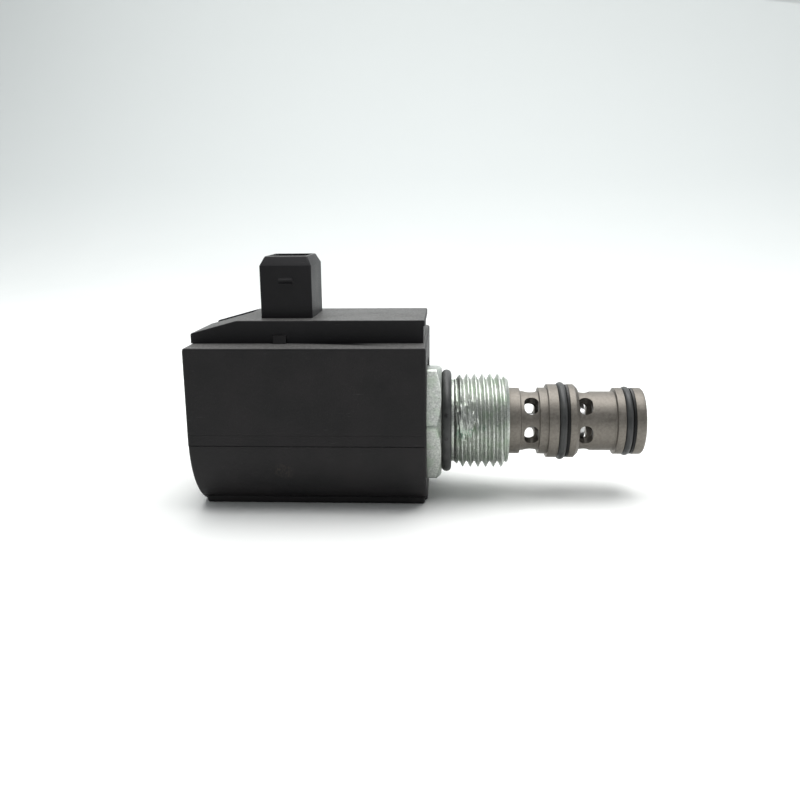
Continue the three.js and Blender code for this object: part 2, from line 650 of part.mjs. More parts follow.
add(cartridge, "guide_tube", tube(tubeRear, tubeFront - CONTACT_GAP, tubeBore, TUBE_DIAMETER), brightSteel);
add(cartridge, "pole_piece", tube(poleRear, tubeFront - CONTACT_GAP, pinHole, sleeveFit), darkSteel);
add(
  cartridge,
  "shim_washer",
  tube(poleRear - SHIM_THICKNESS, poleRear - CONTACT_GAP, pinHole, sleeveFit - 2 * SHIM_SETBACK),
  shimBrass,
);
add(cartridge, "plunger", plunger(), darkSteel);
const pinRear = plungerFront - PUSH_PIN_GRIP;
add(cartridge, "push_pin", rod(pinRear, stemEnd - CONTACT_GAP, PUSH_PIN_DIAMETER), brightSteel);
add(cartridge, "end_plug", endPlug(), zincSteel);

// ---------------------------------------------------------------- coil nut

function coilNut() {
  const rim = NUT_DIAMETER / 2;
  const thread = STUD_DIAMETER / 2 + FIT_GAP;
  const sealPocket = thread + FIT_GAP + NUT_SEAL_SECTION + 2 * FIT_GAP;
  const pocketFloor = nutFace - NUT_SEAL_SECTION - 3 * CONTACT_GAP;
  const ring = turned([
    [nutFace - CONTACT_GAP, sealPocket],
    [nutFace - CONTACT_GAP, rim],
    [nutRear + NUT_CHAMFER, rim],
    [nutRear, rim - NUT_CHAMFER],
    [nutRear, thread],
    [pocketFloor, thread],
    [pocketFloor, sealPocket],
  ]);
  const notches = [];
  for (let i = 0; i < NUT_NOTCH_COUNT; i += 1) {
    const angle = (2 * Math.PI * (i + 0.5)) / NUT_NOTCH_COUNT;
    const reach = rim + NUT_NOTCH_STAND;
    const notch = rod(nutRear - CUT_OVERRUN, nutFace + CUT_OVERRUN, NUT_NOTCH_DIAMETER, PIN_SEGMENTS);
    notches.push(notch.translate([0, reach * Math.cos(angle), reach * Math.sin(angle)]));
  }
  return cutBy(ring, notches);
}

const nutSealRadius = STUD_DIAMETER / 2 + 2 * FIT_GAP + NUT_SEAL_SECTION / 2;
const nutSealX = nutFace - 2 * CONTACT_GAP - NUT_SEAL_SECTION / 2;
add(cartridge, "coil_nut", coilNut(), zincSteel);
add(cartridge, "nut_seal_ring", sealRing(nutSealX, nutSealRadius, NUT_SEAL_SECTION), nitrileRubber);

// ---------------------------------------------------------------- magnetic circuit and winding

const coilBore = TUBE_DIAMETER + 4 * FIT_GAP;
const bobbinFront = shellFront - CONTACT_GAP;
const bobbinRear = shellRear + CONTACT_GAP;
const bobbinTube = coilBore + 2 * BOBBIN_WALL;
const frontSealRadius = TUBE_DIAMETER / 2 + CONTACT_GAP + FRONT_SEAL_SECTION / 2;
const frontSealPocket = 2 * (frontSealRadius + FRONT_SEAL_SECTION / 2 + 2 * FIT_GAP);

// The front washer holds the O-ring that seals the coil to the guide tube.
function frontFluxWasher() {
  const plate = tube(shellFront, washerFront, coilBore, fluxShellDiameter);
  const pocketRear = washerFront - FRONT_SEAL_POCKET_DEPTH;
  return plate.subtract(rod(pocketRear, washerFront + CUT_OVERRUN, frontSealPocket));
}

function bobbin() {
  const [flange, core, bore] = [bobbinFlangeDiameter, bobbinTube, coilBore].map((d) => d / 2);
  return turned([
    [bobbinRear, bore],
    [bobbinRear, flange],
    [bobbinRear + BOBBIN_FLANGE_THICKNESS, flange],
    [bobbinRear + BOBBIN_FLANGE_THICKNESS, core],
    [bobbinFront - BOBBIN_FLANGE_THICKNESS, core],
    [bobbinFront - BOBBIN_FLANGE_THICKNESS, flange],
    [bobbinFront, flange],
    [bobbinFront, bore],
  ]);
}

// Rolled steel shell with a slot on top for the winding's leads.
function fluxShell() {
  const shell = tube(
    shellRear + CONTACT_GAP,
    shellFront - CONTACT_GAP,
    fluxShellDiameter - 2 * FLUX_SHELL_WALL,
    fluxShellDiameter,
  );
  const slot = box(
    [shroudX - SHROUD_LENGTH / 2, shroudX + SHROUD_LENGTH / 2],
    [-LEAD_SLOT_WIDTH / 2, LEAD_SLOT_WIDTH / 2],
    [0, fluxShellDiameter],
  );
  return shell.subtract(slot);
}

add(
  cartridge,
  "coil_front_seal_ring",
  sealRing(washerFront - FRONT_SEAL_SECTION / 2 - 2 * CONTACT_GAP, frontSealRadius, FRONT_SEAL_SECTION),
  nitrileRubber,
);
add(coil, "front_flux_washer", frontFluxWasher(), darkSteel);
add(coil, "rear_flux_washer", tube(nutFace, shellRear, coilBore, fluxShellDiameter), darkSteel);
add(coil, "flux_shell", fluxShell(), darkSteel);
add(coil, "bobbin", bobbin(), bobbinPlastic);
add(
  coil,
  "winding",
  tube(
    bobbinRear + BOBBIN_FLANGE_THICKNESS + FIT_GAP,
    bobbinFront - BOBBIN_FLANGE_THICKNESS - FIT_GAP,
    bobbinTube + 2 * FIT_GAP,
    windingDiameter,
  ),
  copper,
);

// ---------------------------------------------------------------- coil casing

// Upright sides above the axis, a half cylinder below it and small chamfers at the ledge.
function casingOutline() {
  const w = COIL_HALF_WIDTH;
  const shape = new THREE.Shape();
  shape.moveTo(w, 0);
  shape.lineTo(w, COIL_LEDGE_HEIGHT - COIL_EDGE);
  shape.lineTo(w - COIL_EDGE, COIL_LEDGE_HEIGHT);
  shape.lineTo(COIL_EDGE - w, COIL_LEDGE_HEIGHT);
  shape.lineTo(-w, COIL_LEDGE_HEIGHT - COIL_EDGE);
  shape.lineTo(-w, 0);
  shape.absarc(0, 0, w, Math.PI, 2 * Math.PI, false);
  return shape;
}

// The foot pad along the underside, with its lower edges chamfered.
function footPad() {
  const shape = new THREE.Shape();
  shape.moveTo(FOOT_HALF_WIDTH, 0);
  shape.lineTo(-FOOT_HALF_WIDTH, 0);
  shape.lineTo(-FOOT_HALF_WIDTH, FOOT_EDGE - COIL_FOOT_DEPTH);
  shape.lineTo(FOOT_EDGE - FOOT_HALF_WIDTH, -COIL_FOOT_DEPTH);
  shape.lineTo(FOOT_HALF_WIDTH - FOOT_EDGE, -COIL_FOOT_DEPTH);
  shape.lineTo(FOOT_HALF_WIDTH, FOOT_EDGE - COIL_FOOT_DEPTH);
  return alongX(shape, coilRear + FOOT_INSET, coilFront - FOOT_INSET / 2);
}

// One snap catch: a tongue behind the cover's wall with a wedge that stands out of its window.
function snapCatch(side) {
  const half = CATCH_LENGTH / 2 - 2 * FIT_GAP;
  const inner = COVER_HALF_WIDTH - COVER_WALL - CATCH_THICKNESS;
  const outer = COVER_HALF_WIDTH + CATCH_STAND;
  const top = COIL_LEDGE_HEIGHT + CATCH_HEIGHT - 2 * FIT_GAP;
  const shape = new THREE.Shape();
  shape.moveTo(side * inner, COIL_LEDGE_HEIGHT - CUT_OVERRUN);
  shape.lineTo(side * inner, top);
  shape.lineTo(side * COVER_HALF_WIDTH, top);
  shape.lineTo(side * outer, COIL_LEDGE_HEIGHT);
  shape.lineTo(side * outer, COIL_LEDGE_HEIGHT - CUT_OVERRUN);
  return alongX(shape, catchX - half, catchX + half);
}

function casing() {
  const shellFit = fluxShellDiameter + 2 * FIT_GAP;
  const body = alongX(casingOutline(), coilRear, coilFront, ROUND_SEGMENTS / 2);
  const whole = joined([body, footPad(), snapCatch(1), snapCatch(-1)]);
  const halfChamber = CARRIER_LENGTH / 2 + FIT_GAP;
  return cutBy(whole, [
    box(
      [coilRear - CUT_OVERRUN, coilFront + CUT_OVERRUN],
      [-COIL_HALF_WIDTH, COIL_HALF_WIDTH],
      [-COIL_FOOT_DEPTH - COIL_HALF_WIDTH, -COIL_FOOT_DEPTH],
    ),
    rod(nutFace - CONTACT_GAP, washerFront + CONTACT_GAP, shellFit),
    rod(washerFront, coilFront + CUT_OVERRUN, 2 * (hexCornerRadius + HEX_POCKET_CLEARANCE)),
    rod(coilRear - CUT_OVERRUN, nutFace, NUT_DIAMETER + 2 * NUT_POCKET_CLEARANCE),
    box(
      [shroudX - halfChamber, shroudX + halfChamber],
      [-CARRIER_HALF_WIDTH - FIT_GAP, CARRIER_HALF_WIDTH + FIT_GAP],
      [0, COIL_LEDGE_HEIGHT + CUT_OVERRUN],
    ),
    box(
      [diodeX - DIODE_LENGTH / 2 - FIT_GAP, diodeX + DIODE_LENGTH / 2 + FIT_GAP],
      [-DIODE_DIAMETER / 2 - FIT_GAP, DIODE_DIAMETER / 2 + FIT_GAP],
      [COIL_LEDGE_HEIGHT - DIODE_GROOVE_DEPTH, COIL_LEDGE_HEIGHT + CUT_OVERRUN],
    ),
  ]);
}

add(coil, "coil_casing", casing(), casingPlastic);

// ---------------------------------------------------------------- connector cover

const coverBottom = COIL_LEDGE_HEIGHT + CONTACT_GAP;

const coverSlope = (COVER_HEIGHT - COVER_REAR_HEIGHT) / COVER_SLOPE_LENGTH;

// The cover's side outline, drawn in by inset on its top, front and rear.
function coverOutline(inset, bottom) {
  const rear = coilRear + inset;
  const top = coverTop - inset;
  return [
    [rear, bottom],
    [coverFront - inset, bottom],
    [coverFront - inset, top],
    [coilRear + COVER_SLOPE_LENGTH, top],
    [rear, coverRearTop - inset + inset * coverSlope],
  ];
}

// A shallow channel along the back of the slope, open at the rear.
function slopeChannel() {
  const rear = coilRear - CUT_OVERRUN;
  const front = coilRear + COVER_SLOPE_LENGTH;
  const floorRear = coverRearTop - CUT_OVERRUN * coverSlope - CHANNEL_DEPTH;
  const floorFront = coverTop - CHANNEL_DEPTH;
  const section = [[rear, floorRear], [front, floorFront], [front, coverTop], [rear, coverTop]];
  const far = COVER_HALF_WIDTH - CHANNEL_RAIL;
  return alongY(section, far - CHANNEL_WIDTH, far);
}

// What is cut from the end wall so that the roof stands out over it.
function underRoof() {
  return box(
    [coverFront - ROOF_OVERHANG, coverFront + CUT_OVERRUN],
    [-COVER_HALF_WIDTH - CUT_OVERRUN, COVER_HALF_WIDTH + CUT_OVERRUN],
    [coverBottom - CUT_OVERRUN, coverTop - ROOF_THICKNESS],
  );
}

function bladeSlots(clearance) {
  return [1, -1].map((side) =>
    box(
      [shroudX - BLADE_WIDTH / 2 - clearance, shroudX + BLADE_WIDTH / 2 + clearance],
      [
        (side * BLADE_SPACING) / 2 - BLADE_THICKNESS / 2 - clearance,
        (side * BLADE_SPACING) / 2 + BLADE_THICKNESS / 2 + clearance,
      ],
      [carrierBottom + BLADE_ROOT_COVER - clearance, socketFloor + CUT_OVERRUN],
    ),
  );
}

// The shroud around the terminals: upright walls, then all four sides drawn in towards the rim.
function shroud() {
  const spanX = [shroudX - SHROUD_LENGTH / 2, shroudX + SHROUD_LENGTH / 2];
  const spanY = [-SHROUD_HALF_DEPTH, SHROUD_HALF_DEPTH];
  const walls = box(spanX, spanY, [coverTop - COVER_WALL, shroudShoulder]);
  return walls.add(frustum(spanX, spanY, [shroudShoulder, shroudTop], SHROUD_TAPER_X, SHROUD_TAPER_Y));
}

// Two wedge ridges on the shroud's near side, which a plug's latch clips over.
function latchRidges() {
  return [0, 1].map((i) => {
    const top = shroudTop - LATCH_SETBACK - i * LATCH_RIDGE_PITCH;
    const shape = new THREE.Shape();
    shape.moveTo(CONTACT_GAP - SHROUD_HALF_DEPTH, top);
    shape.lineTo(-SHROUD_HALF_DEPTH - LATCH_RIDGE_STAND, top - LATCH_RIDGE_HEIGHT);
    shape.lineTo(CONTACT_GAP - SHROUD_HALF_DEPTH, top - LATCH_RIDGE_HEIGHT);
    return alongX(shape, shroudX - LATCH_RIDGE_WIDTH / 2, shroudX + LATCH_RIDGE_WIDTH / 2);
  });
}

function connectorCover() {
  const block = alongY(coverOutline(0, coverBottom), -COVER_HALF_WIDTH, COVER_HALF_WIDTH);
  const innerHalf = COVER_HALF_WIDTH - COVER_WALL;
  const hollow = alongY(coverOutline(COVER_WALL, coverBottom - CUT_OVERRUN), -innerHalf, innerHalf);
  const socket = box(
    [shroudX - SHROUD_LENGTH / 2 + SOCKET_WALL_X, shroudX + SHROUD_LENGTH / 2 - SOCKET_WALL_X],
    [-SHROUD_HALF_DEPTH + SOCKET_WALL_Y, SHROUD_HALF_DEPTH - SOCKET_WALL_Y],
    [socketFloor, shroudTop + CUT_OVERRUN],
  );
  const windows = box(
    [catchX - CATCH_LENGTH / 2, catchX + CATCH_LENGTH / 2],
    [-COVER_HALF_WIDTH - CUT_OVERRUN, COVER_HALF_WIDTH + CUT_OVERRUN],
    [coverBottom - CUT_OVERRUN, COIL_LEDGE_HEIGHT + CATCH_HEIGHT],
  );
  const shell = cutBy(block, [hollow, slopeChannel(), underRoof()]);
  return cutBy(joined([shell, shroud(), ...latchRidges()]), [socket, windows, ...bladeSlots(FIT_GAP)]);
}

add(coil, "connector_cover", connectorCover(), coverPlastic);

// ---------------------------------------------------------------- terminals and diode

function terminalCarrier() {
  const block = box(
    [shroudX - CARRIER_LENGTH / 2, shroudX + CARRIER_LENGTH / 2],
    [-CARRIER_HALF_WIDTH, CARRIER_HALF_WIDTH],
    [carrierBottom, carrierTop],
  );
  return cutBy(block, bladeSlots(CONTACT_GAP));
}

function terminal(side) {
  const y = (side * BLADE_SPACING) / 2;
  const spanX = [shroudX - BLADE_WIDTH / 2, shroudX + BLADE_WIDTH / 2];
  const spanY = [y - BLADE_THICKNESS / 2, y + BLADE_THICKNESS / 2];
  const tip = bladeTop - BLADE_THICKNESS;
  return joined([
    box(spanX, spanY, [carrierBottom + BLADE_ROOT_COVER, tip]),
    frustum(spanX, spanY, [tip, bladeTop], BLADE_THICKNESS / 2, BLADE_THICKNESS / 4),
  ]);
}

// The diode lies in a groove of the casing in front of the carrier, with its leads in line.
function diode() {
  const lead = DIODE_LEAD_DIAMETER / 2;
  const half = DIODE_LENGTH / 2;
  const body = DIODE_DIAMETER / 2;
  const solid = turned(
    [
      [-half - DIODE_LEAD_LENGTH, 0],
      [-half - DIODE_LEAD_LENGTH, lead],
      [-half, lead],
      [-half, body],
      [half, body],
      [half, lead],
      [half + DIODE_LEAD_LENGTH, lead],
      [half + DIODE_LEAD_LENGTH, 0],
    ],
    PORT_SEGMENTS,
  );
  return solid.translate([diodeX, 0, diodeZ]);
}

add(coil, "terminal_carrier", terminalCarrier(), bobbinPlastic);
add(coil, "terminal_front", terminal(-1), tinPlate);
add(coil, "terminal_back", terminal(1), tinPlate);
add(coil, "suppression_diode", diode(), diodeGlass);

export default valve;
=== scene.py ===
"""Looks of a hydraulic cartridge valve with its solenoid coil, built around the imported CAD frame.

Turned pieces are given in millimetres: x along the valve axis from the hexagon's sealing face,
positive towards the nose, and a radius. place() turns them into the frame's metres.
"""
import math

import bmesh
import bpy
from mathutils import Matrix, Vector


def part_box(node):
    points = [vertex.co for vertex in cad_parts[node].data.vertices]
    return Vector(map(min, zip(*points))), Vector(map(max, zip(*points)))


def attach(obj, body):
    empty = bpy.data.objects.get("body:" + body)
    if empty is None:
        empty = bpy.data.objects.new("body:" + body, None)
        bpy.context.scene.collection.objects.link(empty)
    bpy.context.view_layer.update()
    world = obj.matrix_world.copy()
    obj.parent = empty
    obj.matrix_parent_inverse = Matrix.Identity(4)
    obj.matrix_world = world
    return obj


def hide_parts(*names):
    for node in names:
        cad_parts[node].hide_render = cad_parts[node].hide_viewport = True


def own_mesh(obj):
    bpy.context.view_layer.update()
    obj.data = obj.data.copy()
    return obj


MM = 0.001
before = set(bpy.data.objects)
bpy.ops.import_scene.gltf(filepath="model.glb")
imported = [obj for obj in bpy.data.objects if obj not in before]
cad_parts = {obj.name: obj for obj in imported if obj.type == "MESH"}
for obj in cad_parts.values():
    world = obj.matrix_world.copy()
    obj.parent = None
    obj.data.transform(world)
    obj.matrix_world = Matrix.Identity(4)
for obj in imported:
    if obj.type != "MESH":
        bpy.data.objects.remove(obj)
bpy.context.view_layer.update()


# ---------------------------------------------------------------- places from the frame

def size_mm(node, axis):
    low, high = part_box(node)
    return (high[axis] - low[axis]) / MM


HEX_THICKNESS = 6.95
SEAL_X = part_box("valve_body")[0].x + HEX_THICKNESS * MM
AXIS_Z = (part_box("cage")[0].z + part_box("cage")[1].z) / 2


def place(x, y, z):
    """Millimetres from the sealing face's centre, as a point in the frame."""
    return Vector((SEAL_X + x * MM, y * MM, AXIS_Z + z * MM))


def span_x(node):
    """A node's lowest and highest x, in millimetres from the sealing face."""
    low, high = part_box(node)
    return (low.x - SEAL_X) / MM, (high.x - SEAL_X) / MM


def span_z(node):
    """A node's lowest and highest height in millimetres from the valve axis."""
    low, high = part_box(node)
    return (low.z - AXIS_Z) / MM, (high.z - AXIS_Z) / MM


SEAT_GAP = 0.02  # between two pieces that seat on each other
SLIDE_GAP = 0.06  # round a piece that slides in or fits into another
STROKE = 2.6

# Lengths along the cage, and stations in millimetres from the sealing face, that several pieces share.
COLLAR_LENGTH, UPPER_NECK_LENGTH, STEP_LENGTH = 2.75, 4.35, 1.95
MID_FLANGE_LENGTH, MID_CHAMFER, LOWER_NECK_LENGTH = 1.4, 0.85, 8.6
BODY_END = span_x("valve_body")[1]
COLLAR_END = BODY_END + COLLAR_LENGTH
UPPER_NECK_END = COLLAR_END + UPPER_NECK_LENGTH
LOWER_NECK_START = span_x("mid_backup_ring")[1] + SEAT_GAP + MID_FLANGE_LENGTH + MID_CHAMFER
PORT_HALF_WIDTH, PORT_HALF_SPAN = 3.3 / 2, 4.6 / 2  # along the axis, and across it
UPPER_PORT_X, LOWER_PORT_X = COLLAR_END + 2.5, LOWER_NECK_START + 1.5
PORT_TURN = -0.245  # how far the cage has come to rest turned about its axis
HEX_TURN = -0.115  # and the hexagon
CAGE_BORE_RADIUS = 9.5 / 2


# ---------------------------------------------------------------- mesh tools

ROUND = 128  # facets round a turned piece
SMOOTH_ANGLE = math.radians(32)


def finish_mesh(name, bm, smooth_angle=SMOOTH_ANGLE):
    """A linked object from a bmesh, with its faces turned outwards and shaded smooth up to an angle."""
    bmesh.ops.recalc_face_normals(bm, faces=bm.faces)
    mesh = bpy.data.meshes.new(name)
    bm.to_mesh(mesh)
    bm.free()
    piece = bpy.data.objects.new(name, mesh)
    bpy.context.scene.collection.objects.link(piece)
    shade(piece, smooth_angle)
    return piece


def shade(piece, smooth_angle=SMOOTH_ANGLE):
    piece.data.shade_smooth()
    piece.data.set_sharp_from_angle(angle=smooth_angle)


def bridge(bm, a, b):
    """Faces between two rings; a ring of one vertex is the tip of a fan."""
    if len(a) == 1 and len(b) == 1:
        return
    if len(a) == 1:
        a, b = b, a
    count = len(a)
    for i in range(count):
        j = (i + 1) % count
        if len(b) == 1:
            bm.faces.new((a[i], a[j], b[0]))
        else:
            bm.faces.new((a[i], a[j], b[j], b[i]))


def wrap(name, rings, smooth_angle=SMOOTH_ANGLE):
    """A closed surface through rings of points; it closes on itself unless both ends are tips."""
    bm = bmesh.new()
    verts = [[bm.verts.new(p) for p in ring] for ring in rings]
    for a, b in zip(verts, verts[1:]):
        bridge(bm, a, b)
    if len(verts[0]) > 1 and len(verts[-1]) > 1:
        bridge(bm, verts[-1], verts[0])
    return finish_mesh(name, bm, smooth_angle)


def loft(name, loops, smooth_angle=SMOOTH_ANGLE):
    """A closed body through loops of points, with a flat face over each end."""
    bm = bmesh.new()
    verts = [[bm.verts.new(p) for p in loop] for loop in loops]
    for a, b in zip(verts, verts[1:]):
        bridge(bm, a, b)
    bm.faces.new(verts[0])
    bm.faces.new(verts[-1])
    return finish_mesh(name, bm, smooth_angle)


def ring_points(x, radius, angles):
    """A ring about the valve axis; radius is a number or a function of the angle."""
    if callable(radius):
        return [place(x, radius(a) * math.cos(a), radius(a) * math.sin(a)) for a in angles]
    if radius < 1e-6:
        return [place(x, 0, 0)]
    return [place(x, radius * math.cos(a), radius * math.sin(a)) for a in angles]


def even_angles(count):
    return [2 * math.pi * i / count for i in range(count)]


def rounded(points, fillet, steps=3):
    """A profile with its corners rounded. A third number in a point is that corner's own radius.
    The ends stay as they are if they lie on the axis."""
    on_axis = points[0][1] == 0 and points[-1][1] == 0
    count = len(points)
    made = []
    for i, point in enumerate(points):
        corner = Vector(point[:2])
        radius = point[2] if len(point) > 2 else fillet
        if radius <= 0 or (on_axis and i in (0, count - 1)):
            made.append(tuple(corner))
            continue
        before = Vector(points[i - 1][:2]) - corner
        after = Vector(points[(i + 1) % count][:2]) - corner
        turn = before.angle(after)
        if turn > math.pi - 0.02:
            made.append(tuple(corner))
            continue
        reach = min(radius / math.tan(turn / 2), 0.45 * before.length, 0.45 * after.length)
        start = corner + before.normalized() * reach
        end = corner + after.normalized() * reach
        for k in range(steps + 1):
            t = k / steps
            bent = start.lerp(corner, t).lerp(corner.lerp(end, t), t)
            made.append(tuple(bent))
    return made


def dense(points, step):
    """Extra points along a profile's long straight stretches."""
    made = []
    for a, b in zip(points, points[1:]):
        parts = max(1, math.ceil((Vector(b) - Vector(a)).length / step))
        made += [tuple(Vector(a).lerp(Vector(b), k / parts)) for k in range(parts)]
    return made + [points[-1]]


def turned(name, points, fillet=0.0, count=ROUND, smooth_angle=SMOOTH_ANGLE):
    """A turned piece from [x, radius] points, closed as a ring unless its ends lie on the axis."""
    profile = rounded(points, fillet) if fillet else [p[:2] for p in points]
    angles = even_angles(count)
    return wrap(name, [ring_points(x, r, angles) for x, r in profile], smooth_angle)


def sleeve(name, x0, x1, inner, outer, fillet=0.08, count=ROUND):
    """A plain turned tube between two diameters."""
    points = [(x0, inner / 2), (x0, outer / 2), (x1, outer / 2), (x1, inner / 2)]
    return turned(name, points, fillet, count)


def torus(name, x, mean_radius, section):
    """A ring of round section about the valve axis."""
    radius = section / 2
    points = [(x + radius * math.cos(a), mean_radius + radius * math.sin(a)) for a in even_angles(28)]
    return turned(name, points, smooth_angle=math.radians(60))


def bake(piece):
    """Applies a piece's modifiers to its mesh."""
    bpy.context.view_layer.update()
    evaluated = piece.evaluated_get(bpy.context.evaluated_depsgraph_get())
    mesh = bpy.data.meshes.new_from_object(evaluated)
    piece.modifiers.clear()
    old = piece.data
    piece.data = mesh
    bpy.data.meshes.remove(old)


def carve(piece, tool, operation="DIFFERENCE"):
    """Cuts the tool out of a piece, or joins it on, and removes the tool."""
    modifier = piece.modifiers.new("carve", "BOOLEAN")
    modifier.solver = "EXACT"
    modifier.operation = operation
    modifier.object = tool
    bake(piece)
    bpy.data.objects.remove(tool)
    return piece


def soften(piece, width):
    """Rounds the sharp edges, by width in millimetres, and keeps the flats between them shaded flat."""
    modifier = piece.modifiers.new("soften", "BEVEL")
    modifier.width = width * MM
    modifier.segments = 2
    modifier.limit_method = "ANGLE"
    modifier.angle_limit = math.radians(40)
    modifier.miter_outer = "MITER_ARC"
    bake(piece)
    shade(piece)
    weighted = piece.modifiers.new("weighted", "WEIGHTED_NORMAL")
    weighted.keep_sharp = True
    bake(piece)
    return piece


def block(name, low, high):
    """A plain box between two corners in millimetres, as a cutting tool."""
    corners = [(low[0], low[1]), (high[0], low[1]), (high[0], high[1]), (low[0], high[1])]
    return loft(name, [[place(x, y, z) for x, y in corners] for z in (low[2], high[2])])


def arc(u, v, radius, start, end, steps=4):
    """Points of an arc about (u, v), from one angle to another in degrees."""
    points = []
    for k in range(steps + 1):
        angle = math.radians(start + (end - start) * k / steps)
        points.append((u + radius * math.cos(angle), v + radius * math.sin(angle)))
    return points


def rounded_rectangle(half_x, half_y, radius, steps=6):
    """Points round a rectangle with round corners, about its own centre."""
    u, v = half_x - radius, half_y - radius
    points = []
    for sx, sy, start in ((1, 1, 0), (-1, 1, 90), (-1, -1, 180), (1, -1, 270)):
        points += arc(sx * u, sy * v, radius, start, start + 90, steps)
    return points


def stand_for(piece, body, slot, materials, node):
    """Puts a finished piece on its body in place of a CAD node, with its slot's material."""
    piece.data.materials.clear()
    piece.data.materials.append(materials[slot])
    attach(piece, body)
    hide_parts(node)


# ---------------------------------------------------------------- materials

def linear(*rgb):
    """An sRGB colour, 0 to 255, as a linear RGBA."""
    return tuple(((c / 255 + 0.055) / 1.055) ** 2.4 if c > 10 else c / 255 / 12.92 for c in rgb) + (1.0,)


class Shader:
    """A small builder for one node material."""

    def __init__(self, name):
        self.material = bpy.data.materials.new(name)
        self.material.use_nodes = True
        self.tree = self.material.node_tree
        self.surface = self.tree.nodes["Principled BSDF"]
        self.place = self.add("ShaderNodeTexCoord").outputs["Object"]

    def add(self, kind, settings=None, **inputs):
        node = self.tree.nodes.new(kind)
        for key, value in (settings or {}).items():
            setattr(node, key, value)
        for key, value in inputs.items():
            self.feed(node.inputs[key.replace("_", " ")], value)
        return node

    def feed(self, socket, value):
        if isinstance(value, bpy.types.NodeSocket):
            self.tree.links.new(value, socket)
        else:
            socket.default_value = value

    def set(self, **inputs):
        for key, value in inputs.items():
            self.feed(self.surface.inputs[key.replace("_", " ")], value)

    def stretched(self, x=1.0, y=1.0, z=1.0, offset=(0, 0, 0)):
        """Object coordinates scaled along each axis."""
        node = self.add("ShaderNodeMapping", Vector=self.place)
        node.inputs["Scale"].default_value = (x, y, z)
        node.inputs["Location"].default_value = offset
        return node.outputs["Vector"]

    def noise(self, size, detail=3.0, roughness=0.5, vector=None, distortion=0.0):
        """Noise whose blotches are about size millimetres across."""
        node = self.add(
            "ShaderNodeTexNoise",
            Vector=vector or self.place,
            Scale=1 / (size * MM),
            Detail=detail,
            Roughness=roughness,
            Distortion=distortion,
        )
        return node.outputs["Fac"]

    def ramp(self, value, low, high, start=0.0, end=1.0):
        """value from low..high mapped to start..end, clamped."""
        node = self.add("ShaderNodeMapRange", Value=value)
        node.inputs["From Min"].default_value = low
        node.inputs["From Max"].default_value = high
        node.inputs["To Min"].default_value = start
        node.inputs["To Max"].default_value = end
        return node.outputs["Result"]

    def mix(self, factor, a, b):
        """A colour between a and b."""
        node = self.add("ShaderNodeMix", {"data_type": "RGBA"})
        self.feed(node.inputs[0], factor)
        self.feed(node.inputs[6], a)
        self.feed(node.inputs[7], b)
        return node.outputs[2]

    def maths(self, operation, a, b=0.0):
        node = self.add("ShaderNodeMath", {"operation": operation})
        self.feed(node.inputs[0], a)
        self.feed(node.inputs[1], b)
        return node.outputs[0]

    def axis(self, name):
        """One object coordinate, x, y or z, in metres."""
        return self.add("ShaderNodeSeparateXYZ", Vector=self.place).outputs[name.upper()]

    def near(self, centre, radius, softness):
        """1 inside a ball about a point in the frame, falling to 0 outside it."""
        node = self.add("ShaderNodeVectorMath", {"operation": "DISTANCE"})
        self.feed(node.inputs[0], self.place)
        node.inputs[1].default_value = centre
        return self.ramp(node.outputs["Value"], radius * MM, (radius + softness) * MM, 1.0, 0.0)

    def upward(self):
        """1 on faces that look straight up, falling to 0 on sloping ones."""
        normal = self.add("ShaderNodeNewGeometry").outputs["Normal"]
        height = self.add("ShaderNodeSeparateXYZ", Vector=normal).outputs["Z"]
        return self.ramp(height, 0.75, 0.98)

    def bump(self, height, depth, strength=1.0, normal=None):
        """Height from 0 to 1 as a relief of depth millimetres."""
        node = self.add("ShaderNodeBump", Strength=strength, Distance=depth * MM, Height=height)
        if normal is not None:
            self.feed(node.inputs["Normal"], normal)
        return node.outputs["Normal"]


def moulded_plastic(name, dark, light, roughness, grain=0.22, relief=0.035):
    """Black moulded plastic: eroded mould texture, dust, rubbed patches and a few scuffs, with upward faces
    lightened in patches as settled dust and painted top light.
    """
    s = Shader(name)
    cloud = s.noise(9, 4)
    colour = s.mix(s.ramp(cloud, 0.35, 0.68), linear(*dark), linear(*light))
    dust = s.ramp(s.noise(0.5, 2, 0.7), 0.7, 0.78)
    speck = s.maths("MULTIPLY", dust, s.ramp(s.noise(6, 2), 0.52, 0.72))
    colour = s.mix(s.maths("MULTIPLY", speck, 0.3), colour, linear(92, 90, 88))
    scuff_lines = s.noise(0.5, 2, 0.6, s.stretched(0.12, 1, 1), 0.4)
    scuff = s.maths("MULTIPLY", s.ramp(scuff_lines, 0.68, 0.73), s.ramp(s.noise(11, 1), 0.58, 0.66))
    colour = s.mix(s.maths("MULTIPLY", scuff, 0.25), colour, linear(76, 74, 74))
    # Upward faces lighter in patches: partly settled dust, partly painted top light where the tops catch the
    # light from above.
    dust_and_top_light = s.maths("MULTIPLY", s.upward(), s.ramp(s.noise(0.4, 4, 0.7), 0.4, 0.58, 0.35, 1.0))
    s.colour = s.mix(s.maths("MULTIPLY", dust_and_top_light, 0.8), colour, linear(112, 111, 109))
    s.set(Base_Color=s.colour, Roughness=s.ramp(cloud, 0.3, 0.7, roughness - 0.04, roughness + 0.06))
    s.set(Specular_IOR_Level=0.22)
    fine = s.noise(grain, 2, 0.6)
    coarse = s.noise(1.6, 3, 0.5)
    normal = s.bump(fine, relief)
    s.set(Normal=s.bump(coarse, relief, 0.6, normal))
    return s


